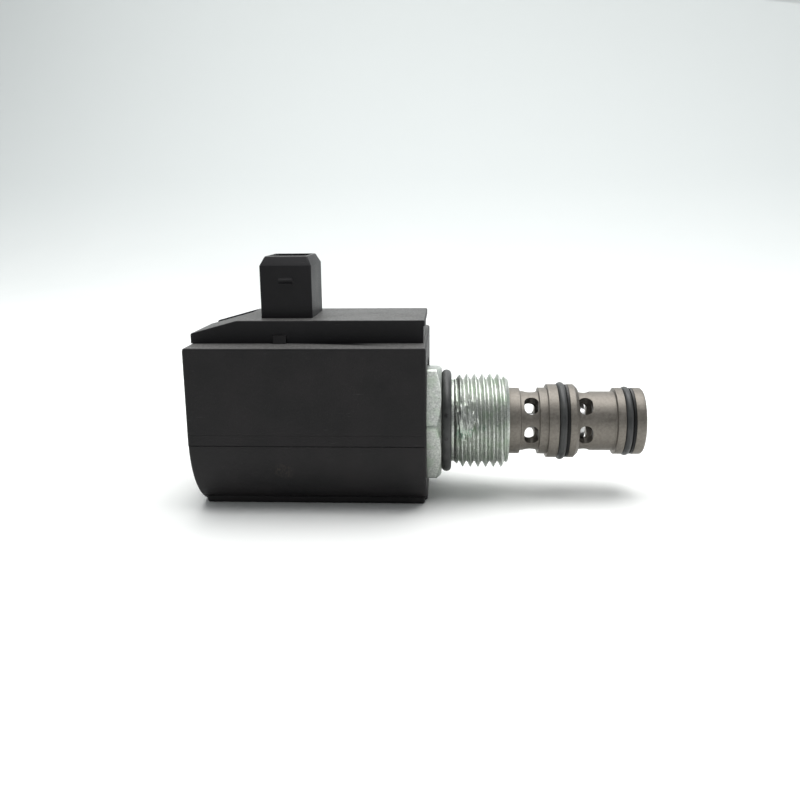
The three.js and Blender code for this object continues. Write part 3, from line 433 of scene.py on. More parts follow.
def turned_metal(name, dark, light, roughness, relief=0.004, mottle=2.2, metallic=1.0):
    """Lathe-turned metal: fine rings about the valve axis under a mottled finish."""
    s = Shader(name)
    rings = s.noise(0.07, 2, 0.6, s.stretched(1, 0.02, 0.02))
    wide_rings = s.noise(0.5, 2, 0.5, s.stretched(1, 0.03, 0.03))
    blotch = s.noise(mottle, 5, 0.6)
    colour = s.mix(s.ramp(blotch, 0.35, 0.65), linear(*dark), linear(*light))
    s.colour = s.mix(s.ramp(rings, 0.35, 0.75, 0.0, 0.18), colour, linear(*dark))
    s.set(Base_Color=s.colour, Metallic=metallic)
    s.set(Roughness=s.ramp(blotch, 0.3, 0.7, roughness - 0.06, roughness + 0.08))
    s.set(Normal=s.bump(rings, relief, 1.0, s.bump(wide_rings, relief * 2)))
    return s


def plated_zinc():
    """Bright zinc plate: granular, with a faint green passivation, stains and small dark pits."""
    s = Shader("zinc_steel")
    grain = s.noise(0.45, 4, 0.65)
    patch = s.noise(3.2, 3)
    colour = s.mix(s.ramp(grain, 0.35, 0.68), linear(170, 174, 169), linear(220, 223, 217))
    colour = s.mix(s.ramp(patch, 0.48, 0.66, 0.0, 0.55), colour, linear(176, 192, 172))
    pits = s.maths("MULTIPLY", s.ramp(s.noise(0.4, 1), 0.69, 0.73), s.ramp(s.noise(2.6, 2), 0.48, 0.6))
    colour = s.mix(s.maths("MULTIPLY", pits, 0.75), colour, linear(84, 88, 84))
    for centre, radius in DYE_MARKS:
        dye = s.maths("MULTIPLY", s.near(place(*centre), radius, 0.8), s.ramp(s.noise(0.5, 3), 0.44, 0.6))
        colour = s.mix(s.maths("MULTIPLY", dye, 0.6), colour, linear(70, 140, 104))
    s.set(Base_Color=colour, Metallic=0.92)
    s.set(Roughness=s.ramp(grain, 0.3, 0.7, 0.3, 0.46))
    s.set(Normal=s.bump(grain, 0.012, 1.0, s.bump(s.noise(1.4, 3), 0.012)))
    return s


# Faint green dye left on the thread's near side: centres from the sealing face, and radii.
DYE_MARKS = (((4.3, -10.6, -0.8), 0.9), ((9.4, -10.7, 0.9), 0.5), ((6.6, -10.6, -0.3), 0.4))
# Dark hairline nicks in the body's ring seal.
SEAL_NICKS = (((1.1, -11.6, 4.0), 0.35), ((1.1, -12.1, -1.4), 0.25))
# A dull scuff low on the casing's near side, in millimetres from the sealing face.
CASING_SCUFF = (-35.1, -18.0, -7.9), 1.7


def ring_rubber():
    """Satin nitrile rubber with a smeared oil film and two dark nicks."""
    s = Shader("nitrile_rubber")
    skin = s.noise(0.35, 4, 0.6)
    smear = s.noise(2.4, 3)
    colour = s.mix(s.ramp(smear, 0.35, 0.7), linear(44, 45, 45), linear(62, 63, 62))
    for centre, radius in SEAL_NICKS:
        nick = s.maths("MULTIPLY", s.near(place(*centre), radius, 0.3), s.ramp(s.noise(0.4, 2), 0.42, 0.5))
        colour = s.mix(nick, colour, linear(16, 16, 16))
    s.set(Base_Color=colour, Roughness=s.ramp(skin, 0.3, 0.7, 0.36, 0.5), Specular_IOR_Level=0.5)
    s.set(Normal=s.bump(skin, 0.01))
    return s


def make_materials():
    made = {}

    casing = moulded_plastic("casing_plastic", (25, 24, 25), (34, 32, 33), 0.5)
    worn = casing.noise(0.35, 3, 0.6, casing.stretched(1, 1, 0.35))
    mark = casing.maths("MULTIPLY", casing.near(place(*CASING_SCUFF[0]), CASING_SCUFF[1], 0.9),
                        casing.ramp(worn, 0.5, 0.6))
    casing.set(Base_Color=casing.mix(casing.maths("MULTIPLY", mark, 0.5), casing.colour, linear(62, 56, 50)))
    made["casing_plastic"] = casing.material

    plastics = (
        ("cover_plastic", (21, 20, 22), (29, 28, 30), 0.48, 0.18, 0.025),
        ("backup_plastic", (16, 16, 16), (26, 25, 24), 0.5, 0.2, 0.008),
        ("bobbin_plastic", (66, 66, 62), (84, 84, 78), 0.5, 0.2, 0.01),
        ("diode_epoxy", (22, 22, 24), (32, 32, 34), 0.35, 0.2, 0.008),
    )
    for slot, *look in plastics:
        made[slot] = moulded_plastic(slot, *look).material
    metals = (
        ("bright_steel", (170, 171, 172), (206, 206, 204), 0.28, 2.2),
        ("dark_steel", (86, 88, 90), (112, 112, 112), 0.45, 2.2),
        ("spring_steel", (120, 122, 126), (158, 160, 164), 0.32, 2.2),
        ("shim_brass", (176, 142, 74), (206, 176, 108), 0.32, 2.2),
        ("tin_plate", (186, 184, 176), (220, 219, 212), 0.3, 0.8),
        ("copper", (142, 74, 38), (190, 108, 62), 0.3, 3),
    )
    for slot, dark, light, roughness, mottle in metals:
        made[slot] = turned_metal(slot, dark, light, roughness, mottle=mottle).material
    made["phosphated_steel"] = turned_metal(
        "phosphated_steel", (114, 109, 102), (134, 129, 122), 0.5, relief=0.003, mottle=0.7, metallic=0.85
    ).material
    made["zinc_steel"] = plated_zinc().material
    made["nitrile_rubber"] = ring_rubber().material
    return made


# ---------------------------------------------------------------- valve body

THREAD_PITCH = 25.4 / 14
THREAD_CREST = 22.18 / 2
THREAD_DEPTH = 1.3
THREAD_PHASE = 0.06  # share of a pitch that the crests lie nearer the nose
END_SLOPE = 0.9  # of the thread's run-out and lead-in
RELIEF_RADIUS = size_mm("body_seal_ring", 1) / 2 - size_mm("body_seal_ring", 0) - SEAT_GAP
RELIEF_LENGTH = 2.85
HEX_FLAT = 25.4 / 2
HEX_FACE_RADIUS = 12.55
HEX_CHAMFER_SLOPE = math.tan(math.radians(30))
HEX_CORNER_BREAK = 0.16
SEAL_RECESS_RADIUS = size_mm("body_seal_ring", 1) / 2 + SEAT_GAP
SEAL_RECESS_DEPTH = 0.1
SPIGOT_RADIUS = CAGE_BORE_RADIUS + 2.05  # of the cage, where it fits in the body


def hex_radius(angle):
    """Distance from the axis to the hexagon's outline, its corners slightly broken."""
    nearest_flat = (angle - HEX_TURN - math.pi / 6) % (math.pi / 3)
    if nearest_flat > math.pi / 6:
        nearest_flat -= math.pi / 3
    corner = HEX_FLAT / math.cos(math.pi / 6)
    return min(HEX_FLAT / math.cos(nearest_flat), corner - HEX_CORNER_BREAK)


def thread_height(turn, crest_flat=0.13, root_flat=0.12):
    """A thread's section: 0 at the root to 1 at the crest, turn being the share of a pitch."""
    distance = abs((turn % 1.0) - 0.5) * 2
    return min(1.0, max(0.0, (distance - root_flat) / (1 - crest_flat - root_flat)))


# A knock on the thread's near side, where the first turns are pressed flat: its middle, in
# millimetres along the axis and as an angle, and how far it reaches each way.
KNOCK_X, KNOCK_ANGLE = 5.35, math.pi - 0.25
KNOCK_REACH_X, KNOCK_REACH_ANGLE = 3.0, 0.5


def knocked(x, angle):
    """How far the thread is pressed flat at one place, from 0 to 1, with a ragged edge."""
    ragged = 0.16 * math.sin(5.3 * x + 11 * angle) + 0.1 * math.sin(9.1 * x - 23 * angle)
    along = (x - KNOCK_X) / KNOCK_REACH_X
    around = (angle - KNOCK_ANGLE) / KNOCK_REACH_ANGLE
    return min(1.0, max(0.0, (1.0 - math.hypot(along, around) + ragged) * 2.5))


def thread_radius(x, angle):
    """Radius of the right-hand thread, with its run-out at the relief neck and its lead-in at the end."""
    lift = thread_height(x / THREAD_PITCH - angle / (2 * math.pi) - THREAD_PHASE)
    pressed = knocked(x, angle)
    smear = 0.62 + 0.14 * math.sin(3.7 * x + 6 * angle) + 0.1 * math.sin(8.3 * x - 13 * angle)
    lift += pressed * (0.25 * lift + 0.75 * smear - lift) if pressed else 0.0
    radius = THREAD_CREST - THREAD_DEPTH + THREAD_DEPTH * lift
    nick = max(0.0, math.sin(7 * angle + 2.1 * x) * math.sin(3 * angle - 1.3 * x) - 0.72)
    radius -= nick * 0.25 * lift
    lead_in = THREAD_CREST - THREAD_DEPTH * 1.05 + (BODY_END - x) * END_SLOPE
    run_out = RELIEF_RADIUS + max(0.0, x - RELIEF_LENGTH) * END_SLOPE
    return max(min(radius, lead_in, run_out), min(RELIEF_RADIUS, THREAD_CREST - THREAD_DEPTH))


def hex_angles():
    """Angles round the body, closer together at the hexagon's corners."""
    angles = set(round(a, 6) for a in even_angles(240))
    for corner in range(6):
        for offset in (-1.1, -0.75, -0.35, 0.35, 0.75, 1.1):
            turn = corner * math.pi / 3 + HEX_TURN + math.radians(offset)
            angles.add(round(turn % (2 * math.pi), 6))
    return sorted(angles)


def valve_body(materials):
    rear, front = span_x("valve_body")
    socket = size_mm("guide_tube", 1) / 2 + SLIDE_GAP
    chamber = size_mm("spring_seat", 1) / 2 + 0.25
    spigot = SPIGOT_RADIUS + SLIDE_GAP
    cage_rear = span_x("cage")[0]
    tube_front = span_x("guide_tube")[1]
    angles = hex_angles()
    rings = []

    def add_ring(x, radius):
        rings.append(ring_points(x, radius, angles))

    # The bore, from the front face back to the tube's socket.
    for x, radius in (
        (front, spigot + 0.2), (front - 0.2, spigot),
        (cage_rear - SLIDE_GAP, spigot), (cage_rear - SLIDE_GAP, chamber),
        (tube_front, chamber), (tube_front, socket), (rear + 0.3, socket), (rear, socket + 0.3),
    ):
        add_ring(x, radius)

    # The hexagon, cut back by a cone at both ends.
    def cone(distance):
        limit = HEX_FACE_RADIUS + distance / HEX_CHAMFER_SLOPE
        return lambda a: min(hex_radius(a), limit)

    chamfer_depth = (HEX_FLAT / math.cos(math.pi / 6) - HEX_FACE_RADIUS) * HEX_CHAMFER_SLOPE
    steps = 14  # along each cone
    add_ring(rear, HEX_FACE_RADIUS - 0.08)
    for k in range(steps + 1):
        depth = chamfer_depth * k / steps
        add_ring(rear + depth, cone(depth))
    for k in range(1, 6):
        add_ring(rear + chamfer_depth + (-rear - 2 * chamfer_depth) * k / 6, hex_radius)
    for k in range(steps + 1):
        depth = chamfer_depth * (steps - k) / steps
        add_ring(-depth, cone(depth))
    add_ring(0, SEAL_RECESS_RADIUS)
    add_ring(-SEAL_RECESS_DEPTH, SEAL_RECESS_RADIUS)

    # The relief neck with small fillets, then the thread.
    fillet = 0.3
    for k in range(5):
        turn = math.pi / 2 * k / 4
        depth = fillet * (1 - math.cos(turn)) - SEAL_RECESS_DEPTH
        add_ring(depth, RELIEF_RADIUS + fillet * (1 - math.sin(turn)))
    for k in range(1, 4):
        add_ring(fillet + (RELIEF_LENGTH - fillet) * k / 4, RELIEF_RADIUS)
    count = 200
    for k in range(count + 1):
        x = RELIEF_LENGTH + (front - RELIEF_LENGTH) * k / count
        add_ring(x, lambda a, x=x: thread_radius(x, a))
    piece = wrap("hexagon_body", rings, math.radians(38))
    stand_for(piece, "cartridge", "zinc_steel", materials, "valve_body")


# ---------------------------------------------------------------- cage, spool and seals

EDGE = 0.09  # edge break of turned steel


def cage(materials):
    rear, front = span_x("cage")
    collar, upper_neck, step, mid_land = 15.65 / 2, 14.1 / 2, 15.75 / 2, 17.4 / 2
    lower_neck, nose_land = 13.95 / 2, 15.7 / 2
    mid_low, mid_high = span_x("mid_seal_ring")[0], span_x("mid_backup_ring")[1]
    nose_low, nose_high = span_x("nose_seal_ring")[0], span_x("nose_backup_ring")[1]
    mid_floor = size_mm("mid_seal_ring", 1) / 2 - size_mm("mid_seal_ring", 0) - SEAT_GAP
    nose_floor = size_mm("nose_seal_ring", 1) / 2 - size_mm("nose_seal_ring", 0) - SEAT_GAP
    seat = BODY_END + SEAT_GAP
    step_end = UPPER_NECK_END + STEP_LENGTH
    flange_end = LOWER_NECK_START - MID_CHAMFER
    lower_end = LOWER_NECK_START + LOWER_NECK_LENGTH
    outline = [
        (rear, CAGE_BORE_RADIUS), (rear, SPIGOT_RADIUS), (seat, SPIGOT_RADIUS), (seat, collar, 0.15),
        (COLLAR_END, collar, 0.25), (COLLAR_END, upper_neck, 0.3), (UPPER_NECK_END, upper_neck, 0.3),
        (UPPER_NECK_END, step), (step_end, step), (step_end, mid_land, 0.2),
        (mid_low - SEAT_GAP, mid_land), (mid_low - SEAT_GAP, mid_floor),
        (mid_high + SEAT_GAP, mid_floor), (mid_high + SEAT_GAP, mid_land), (flange_end, mid_land, 0.3),
        (LOWER_NECK_START, mid_land - MID_CHAMFER, 0.2), (LOWER_NECK_START, lower_neck, 0.35),
        (lower_end, lower_neck, 0.35), (lower_end, nose_land, 0.15),
        (nose_low - SEAT_GAP, nose_land), (nose_low - SEAT_GAP, nose_floor),
        (nose_high + SEAT_GAP, nose_floor), (nose_high + SEAT_GAP, nose_land),
        (front, nose_land, 0.7), (front, CAGE_BORE_RADIUS, 0.3),
    ]
    profile = rounded(outline, EDGE)
    profile = dense(profile + [profile[0]], 0.6)[:-1]
    piece = wrap("ported_cage", [ring_points(x, r, even_angles(144)) for x, r in profile])
    for x in (UPPER_PORT_X, LOWER_PORT_X):
        for k in range(3):
            carve(piece, cross_slot(x, math.pi / 3 * (k + 0.5) + PORT_TURN))
    shade(piece)
    stand_for(piece, "cartridge", "phosphated_steel", materials, "cage")


def cross_slot(x, turn):
    """A round-ended cutter right through the cage at a station, along a direction at an angle from +Y."""
    along = Vector((0, math.cos(turn), math.sin(turn)))
    across = Vector((0, -math.sin(turn), math.cos(turn)))
    outline = rounded_rectangle(PORT_HALF_WIDTH, PORT_HALF_SPAN, PORT_HALF_WIDTH - 0.01, 12)
    loops = []
    for reach in (-12, 12):
        middle = place(x, 0, 0) + along * reach * MM
        loops.append([middle + Vector((u, 0, 0)) * MM + across * v * MM for u, v in outline])
    return loft("port_cutter", loops)


def spool(materials):
    rear, front = span_x("spool")
    land = size_mm("spool", 1) / 2
    clip_rear, clip_front = span_x("retaining_clip")
    stem, neck, clip_root = 2.0, 1.75, 1.5
    rear_land_length, front_land_length = 7.4, 2.5
    groove, groove_depth, groove_count = 0.25, 0.35, 3
    front_start = front - front_land_length
    rear_end = UPPER_PORT_X - PORT_HALF_WIDTH - STROKE
    rear_start = rear_end - rear_land_length
    points = [(rear, 0), (rear, stem, 0.3), (clip_rear - SEAT_GAP, stem), (clip_rear - SEAT_GAP, clip_root)]
    points += [(clip_front + SEAT_GAP, clip_root), (clip_front + SEAT_GAP, stem)]
    points += [(rear_start, stem, 0.3), (rear_start, land, 0.2)]
    for k in range(1, groove_count + 1):
        x = rear_start + k * rear_land_length / (groove_count + 1)
        points += [(x - groove, land, 0.04), (x - groove, land - groove_depth)]
        points += [(x + groove, land - groove_depth), (x + groove, land, 0.04)]
    points += [(rear_end, land, 0.05), (rear_end, neck, 0.5), (front_start, neck, 0.5)]
    points += [(front_start, land, 0.05), (front, land, 0.05), (front, 0)]
    piece = turned("spool_turned", points, 0.06, 96)
    stand_for(piece, "spool", "bright_steel", materials, "spool")

    low, high = span_x("spring_seat")
    seat = sleeve("spring_seat_washer", low, high, 2 * stem + 0.1, size_mm("spring_seat", 1), 0.12, 96)
    stand_for(seat, "spool", "bright_steel", materials, "spring_seat")


def spool_spring(materials):
    """The return spring, with its end turns closed up."""
    low, high = span_x("spool_spring")
    wire = 0.9
    mean = (size_mm("spool_spring", 1) - wire) / 2 - 0.02
    turns, sides, steps = 6.0, 14, 260
    pitch_share = []
    for k in range(steps + 1):
        t = k / steps
        closed = 1 / turns
        ease = min(1.0, t / closed, (1 - t) / closed)
        pitch_share.append(0.35 + 0.65 * ease)
    total = sum(pitch_share)
    x = low + wire / 2
    travel = high - low - wire
    rings = []
    for k in range(steps + 1):
        angle = 2 * math.pi * turns * k / steps
        out = Vector((0, math.cos(angle), math.sin(angle)))
        ring = []
        for a in even_angles(sides):
            offset = out * (mean + wire / 2 * math.cos(a)) + Vector((1, 0, 0)) * (x + wire / 2 * math.sin(a))
            ring.append(place(offset.x, offset.y, offset.z))
        rings.append(ring)
        x += travel * pitch_share[k] / total
    piece = loft("return_spring", rings, math.radians(60))
    stand_for(piece, "cartridge", "spring_steel", materials, "spool_spring")
    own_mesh(piece)


def seals(materials):
    """Each ring seal, round where its CAD ring is."""
    names = {
        "body_seal_ring": "cartridge", "mid_seal_ring": "cartridge", "nose_seal_ring": "cartridge",
        "coil_front_seal_ring": "cartridge", "nut_seal_ring": "nut_seal",
    }
    for node, body in names.items():
        low, high = span_x(node)
        section = high - low
        mean = size_mm(node, 1) / 2 - section / 2
        piece = torus(node.replace("_ring", "_o_ring"), (low + high) / 2, mean, section - 0.01)
        stand_for(piece, body, "nitrile_rubber", materials, node)
    for node in ("mid_backup_ring", "nose_backup_ring"):
        low, high = span_x(node)
        outer = size_mm(node, 1)
        seal = node.replace("backup", "seal")
        inner = size_mm(seal, 1) - 2 * size_mm(seal, 0) - 0.02
        piece = sleeve(node.replace("_ring", "_washer"), low + 0.01, high - 0.01, inner, outer - 0.02, 0.06)
        stand_for(piece, "cartridge", "backup_plastic", materials, node)


# ---------------------------------------------------------------- tube, nut and inner pieces

STUD_RADIUS = 6.0
NUT_NOTCH_COUNT, NUT_NOTCH_RADIUS, NUT_NOTCH_STAND = 8, 1.5, 0.5


def coil_nut(materials):
    low, high = span_x("coil_nut")
    rim = size_mm("coil_nut", 1) / 2
    bore = STUD_RADIUS + SLIDE_GAP
    pocket = size_mm("nut_seal_ring", 1) / 2 + 0.1
    floor = high - size_mm("nut_seal_ring", 0) - 2 * SEAT_GAP
    points = [
        (high, pocket, 0.1), (high, rim, 0.25), (low + 1.2, rim, 0.2), (low + 0.55, rim - 0.6, 0.3),
        (low, rim - 1.1, 0.3), (low, bore + 0.5, 0.05), (low + 0.5, bore, 0.05), (floor, bore, 0.05),
        (floor, pocket, 0.1),
    ]
    piece = turned("coil_clamp_nut", points, 0.15, 160)
    for k in range(NUT_NOTCH_COUNT):
        turn = 2 * math.pi * (k + 0.5) / NUT_NOTCH_COUNT
        reach = rim + NUT_NOTCH_STAND
        y, z = reach * math.cos(turn), reach * math.sin(turn)
        loops = []
        for x in (low - 1, high + 1):
            loops.append([
                place(x, y + NUT_NOTCH_RADIUS * math.cos(a), z + NUT_NOTCH_RADIUS * math.sin(a))
                for a in even_angles(40)
            ])
        carve(piece, loft("nut_notch", loops))
    soften(piece, 0.12)
    stand_for(piece, "coil_nut", "zinc_steel", materials, "coil_nut")


def end_plug(materials):
    """The tube's rear plug, its stud threaded for the coil nut."""
    low, high = span_x("end_plug")
    plug = size_mm("end_plug", 1) / 2
    stud, pitch, depth = STUD_RADIUS - 0.02, 1.0, 0.55
    shoulder = span_x("guide_tube")[0]
    angles = even_angles(96)
    rings = [ring_points(high, 0, angles), ring_points(high, plug - 0.3, angles)]
    rings += [ring_points(high - 0.3, plug, angles), ring_points(shoulder, plug, angles)]
    count = 90
    for k in range(count + 1):
        x = shoulder - (shoulder - low) * k / count
        rings.append(ring_points(x, lambda a, x=x: min(
            stud - depth + depth * thread_height(x / pitch - a / (2 * math.pi)),
            stud - 0.6 + END_SLOPE * (x - low),
        ), angles))
    rings.append(ring_points(low, 0, angles))
    piece = wrap("tube_end_stud", rings, math.radians(38))
    stand_for(piece, "cartridge", "zinc_steel", materials, "end_plug")


TUBE_BORE, PIN_HOLE, COIL_BORE = 14.32, 3.12, 16.12  # diameters


def inner_sleeves(materials):
    """The plain turned pieces inside the coil and the tube."""
    plain = (
        ("guide_tube", "guide_tube_drawn", "cartridge", "bright_steel", TUBE_BORE, 0.1),
        ("pole_piece", "fixed_pole", "cartridge", "dark_steel", PIN_HOLE, 0.25),
        ("shim_washer", "residual_shim", "cartridge", "shim_brass", PIN_HOLE, 0.05),
        ("rear_flux_washer", "rear_flux_plate", "coil", "dark_steel", COIL_BORE, 0.2),
    )
    for node, name, body, slot, inner, fillet in plain:
        low, high = span_x(node)
        piece = sleeve(name, low, high, inner, size_mm(node, 1) - 0.01, fillet, 96)
        stand_for(piece, body, slot, materials, node)
    low, high = span_x("push_pin")
    radius = size_mm("push_pin", 1) / 2
    pin = turned("push_pin_ground", [(low, 0), (low, radius, 0.3), (high, radius, 0.3), (high, 0)], 0.3, 48)
    stand_for(pin, "plunger", "bright_steel", materials, "push_pin")


def winding(materials):
    """Layers of round wire, shown as one ring-shaped ridge per turn."""
    low, high = span_x("winding")
    outer = size_mm("winding", 1) / 2
    inner = COIL_BORE / 2 + 1.06
    wire = 0.62
    turns = int((high - low) / wire)
    points = [(low, inner), (low, outer - wire / 2)]
    for k in range(turns):
        for j in range(5):
            t = (j + 0.5) / 5
            x = low + (high - low) * (k + t) / turns
            points.append((x, outer - wire / 2 + wire / 2 * math.sin(math.pi * t)))
    points += [(high, outer - wire / 2), (high, inner)]
    piece = turned("wire_winding", points, count=72, smooth_angle=math.radians(50))
    stand_for(piece, "coil", "copper", materials, "winding")


# ---------------------------------------------------------------- coil casing

LEDGE_HEIGHT = 20.5
FOOT = span_z("coil_casing")[0]
CASING_HALF = size_mm("coil_casing", 1) / 2
PARTING_HIGH, PARTING_LOW = 1.07, -1.4
LEDGE_CORNER = 0.45
LOWER_SET_BACK = 0.14  # of the round underside, within the upright sides
FOOT_HALF = 11.0
FOOT_INSETS = 1.2, 0.6  # of the foot pad, from the casing's rear and front
FOOT_EDGE = 0.7
FOOT_GROOVE = -15.8, -15.35  # heights of the groove where the pad meets the round side
HEX_POCKET_DIAMETER, NUT_POCKET_DIAMETER = 30.4, 23.0
CATCH_HALF_LENGTH, CATCH_HEIGHT, CATCH_STAND, CATCH_DEPTH = 1.45, 1.75, 0.8, 2.8
DIODE_GROOVE_DEPTH, DIODE_LEAD = 0.5, 3.1


def casing_loop(x, inset):
    """The casing's cross-section: upright sides, a half cylinder below, round ledge corners."""
    half, low_half = CASING_HALF - inset, CASING_HALF - inset - LOWER_SET_BACK
    inner, top = half - LEDGE_CORNER, LEDGE_HEIGHT - inset - LEDGE_CORNER
    start = 180 + math.degrees(math.asin(-PARTING_LOW / low_half))
    points = arc(inner, top, LEDGE_CORNER, 0, 90) + arc(-inner, top, LEDGE_CORNER, 90, 180)
    points.append((-half, PARTING_LOW + 0.02))
    points += arc(0, 0, low_half, start, 540 - start, 64)
    points.append((half, PARTING_LOW + 0.02))
    return [place(x, y, z) for y, z in points]


def rounded_ends(low, high, edge, steps=5):
    """Stations and insets that round both ends of a loft."""
    near = []
    for k in range(steps + 1):
        turn = math.pi / 2 * k / steps
        near.append((low + edge * (1 - math.cos(turn)), edge * (1 - math.sin(turn))))
    return near + [(low + high - x, inset) for x, inset in reversed(near)]


def foot_pad(low, high):
    """The pad along the underside, its lower edges round."""
    loops = []
    for x, inset in rounded_ends(low + FOOT_INSETS[0], high - FOOT_INSETS[1], 0.5):
        half, bottom = FOOT_HALF - inset, FOOT + inset + FOOT_EDGE
        points = [(half, -10.0), (-half, -10.0)]
        points += arc(FOOT_EDGE - half, bottom, FOOT_EDGE, 180, 270)
        points += arc(half - FOOT_EDGE, bottom, FOOT_EDGE, 270, 360)
        loops.append([place(x, y, z) for y, z in points])
    return loft("foot_pad", loops)


def casing_grooves(piece, low, high):
    """The parting line's groove, the step's, and the one where the pad meets the round side."""
    grooves = (
        (CASING_HALF - 0.05, CASING_HALF + 1, PARTING_HIGH - 0.05, PARTING_HIGH + 0.05),
        (CASING_HALF - 0.4, CASING_HALF + 1, PARTING_LOW - 0.1, PARTING_LOW + 0.14),
        (FOOT_HALF - 0.35, FOOT_HALF + 0.9, *FOOT_GROOVE),
    )
    for inner, outer, z0, z1 in grooves:
        for side in (1, -1):
            y0, y1 = sorted((side * inner, side * outer))
            carve(piece, block("groove_tool", (low - 1, y0, z0), (high + 1, y1, z1)))


def snap_catches(piece):
    """Wedges on the ledge that stand out of the cover's windows."""
    inner, outer, top = COVER_HALF - CATCH_DEPTH, COVER_HALF + CATCH_STAND, LEDGE_HEIGHT + CATCH_HEIGHT
    for side in (1, -1):
        section = [
            (inner, LEDGE_HEIGHT - 1), (inner, top), (COVER_HALF + 0.1, top),
            (outer, LEDGE_HEIGHT + 0.1), (outer, LEDGE_HEIGHT - 1),
        ]
        ends = [
            [place(x, side * y, z) for y, z in section]
            for x in (CATCH_X - CATCH_HALF_LENGTH, CATCH_X + CATCH_HALF_LENGTH)
        ]
        carve(piece, loft("snap_catch", ends), "UNION")


def casing_pockets(piece, low, high):
    """Room for the hexagon, the nut, the magnetic circuit, the terminals and the diode."""
    shell = size_mm("flux_shell", 1) + 0.1
    washer_front = span_x("front_flux_washer")[1]
    nut_face = span_x("rear_flux_washer")[0]
    for x0, x1, diameter in (
        (nut_face - SEAT_GAP, washer_front + SEAT_GAP, shell),
        (washer_front, high + 1, HEX_POCKET_DIAMETER),
        (low - 1, nut_face, NUT_POCKET_DIAMETER),
    ):
        carve(piece, turned("bore_tool", [(x0, 0), (x0, diameter / 2), (x1, diameter / 2), (x1, 0)]))
    x0, x1 = span_x("terminal_carrier")
    half = size_mm("terminal_carrier", 1) / 2 + 0.05
    carve(piece, block("terminal_chamber", (x0 - 0.05, -half, 0), (x1 + 0.05, half, LEDGE_HEIGHT + 1)))
    x0, x1 = span_x("suppression_diode")
    half = size_mm("suppression_diode", 1) / 2 + 0.05
    low_corner = x0 + DIODE_LEAD, -half, LEDGE_HEIGHT - DIODE_GROOVE_DEPTH
    carve(piece, block("diode_groove", low_corner, (x1 - DIODE_LEAD, half, LEDGE_HEIGHT + 1)))


def coil_casing(materials):
    low, high = span_x("coil_casing")
    stations = rounded_ends(low, high, 0.6)
    piece = loft("casing_shell", [casing_loop(x, inset) for x, inset in stations])
    carve(piece, block("underside_trim", (low - 2, -25, FOOT - 9), (high + 2, 25, FOOT)))
    carve(piece, foot_pad(low, high), "UNION")
    casing_grooves(piece, low, high)
    snap_catches(piece)
    casing_pockets(piece, low, high)
    soften(piece, 0.12)
    stand_for(piece, "coil", "casing_plastic", materials, "coil_casing")


# ---------------------------------------------------------------- connector cover

COVER_HALF = size_mm("connector_cover", 1) / 2
COVER_LOW, COVER_HIGH = span_x("connector_cover")
COVER_TOP = 25.6
COVER_REAR_TOP = 22.75
SLOPE_LENGTH = 10.6
SHROUD_X = sum(span_x("terminal_front")) / 2
SHROUD_TOP = span_z("connector_cover")[1]
SHROUD_HALF_LENGTH, SHROUD_HALF_DEPTH = 11.7 / 2, 7.8
SOCKET_HALF_LENGTH, SOCKET_HALF_DEPTH, SOCKET_FLOOR = 4.15, 4.6, 27.2
COVER_WALL = 1.6
ROOF_THICKNESS, ROOF_OVERHANG = 1.3, 0.35
CHANNEL_WIDTH, CHANNEL_DEPTH, CHANNEL_RAIL = 7, 0.4, 0.8
LATCH_TOP, LATCH_HALF_WIDTH, LATCH_HEIGHT = 34.75, 1.55, 0.7
CATCH_X = SHROUD_X - 0.9
WINDOW_HALF_LENGTH, WINDOW_HEIGHT = 1.5, 1.85
BLADE_HALF_SPACING = 2.4


def cover_loop(y, inset):
    """The cover block's side outline at one depth, all its corners rounded."""
    bottom = LEDGE_HEIGHT + 0.02
    low, high, top = COVER_LOW + inset, COVER_HIGH - inset, COVER_TOP - inset
    slope = math.atan2(COVER_TOP - COVER_REAR_TOP, SLOPE_LENGTH)
    rear_top = COVER_REAR_TOP - inset / math.cos(slope) + inset * math.tan(slope)
    outline = [
        (low, bottom, 0.05), (high, bottom, 0.05), (high, top, 0.45),
        (COVER_LOW + SLOPE_LENGTH + inset * math.tan(slope / 2), top, 1.2), (low, rear_top, 0.5),
    ]
    return [place(x, y, z) for x, z in rounded(outline, 0.05, 4)]


def shroud_solid():
    """A rounded box whose four sides lean in towards the rim."""
    profile = [
        (COVER_TOP - 1.5, 0.0, 0.0), (37.2, 0.0, 0.0), (37.4, 0.04, 0.06),
        (39.1, 0.88, 1.3), (39.3, 1.0, 1.45), (SHROUD_TOP, 1.15, 1.65),
    ]
    loops = []
    for z, inset_x, inset_y in profile:
        outline = rounded_rectangle(SHROUD_HALF_LENGTH - inset_x, SHROUD_HALF_DEPTH - inset_y, 0.4)
        loops.append([place(SHROUD_X + x, y, z) for x, y in outline])
    return loft("shroud", loops)


def socket_tool():
    """The socket for the plug, flared at its rim."""
    loops = []
    for z, grow in ((SOCKET_FLOOR, 0.0), (38.9, 0.0), (SHROUD_TOP + 0.2, 0.35)):
        outline = rounded_rectangle(SOCKET_HALF_LENGTH + grow, SOCKET_HALF_DEPTH + grow, 0.6)
        loops.append([place(SHROUD_X + x, y, z) for x, y in outline])
    return loft("socket_tool", loops)


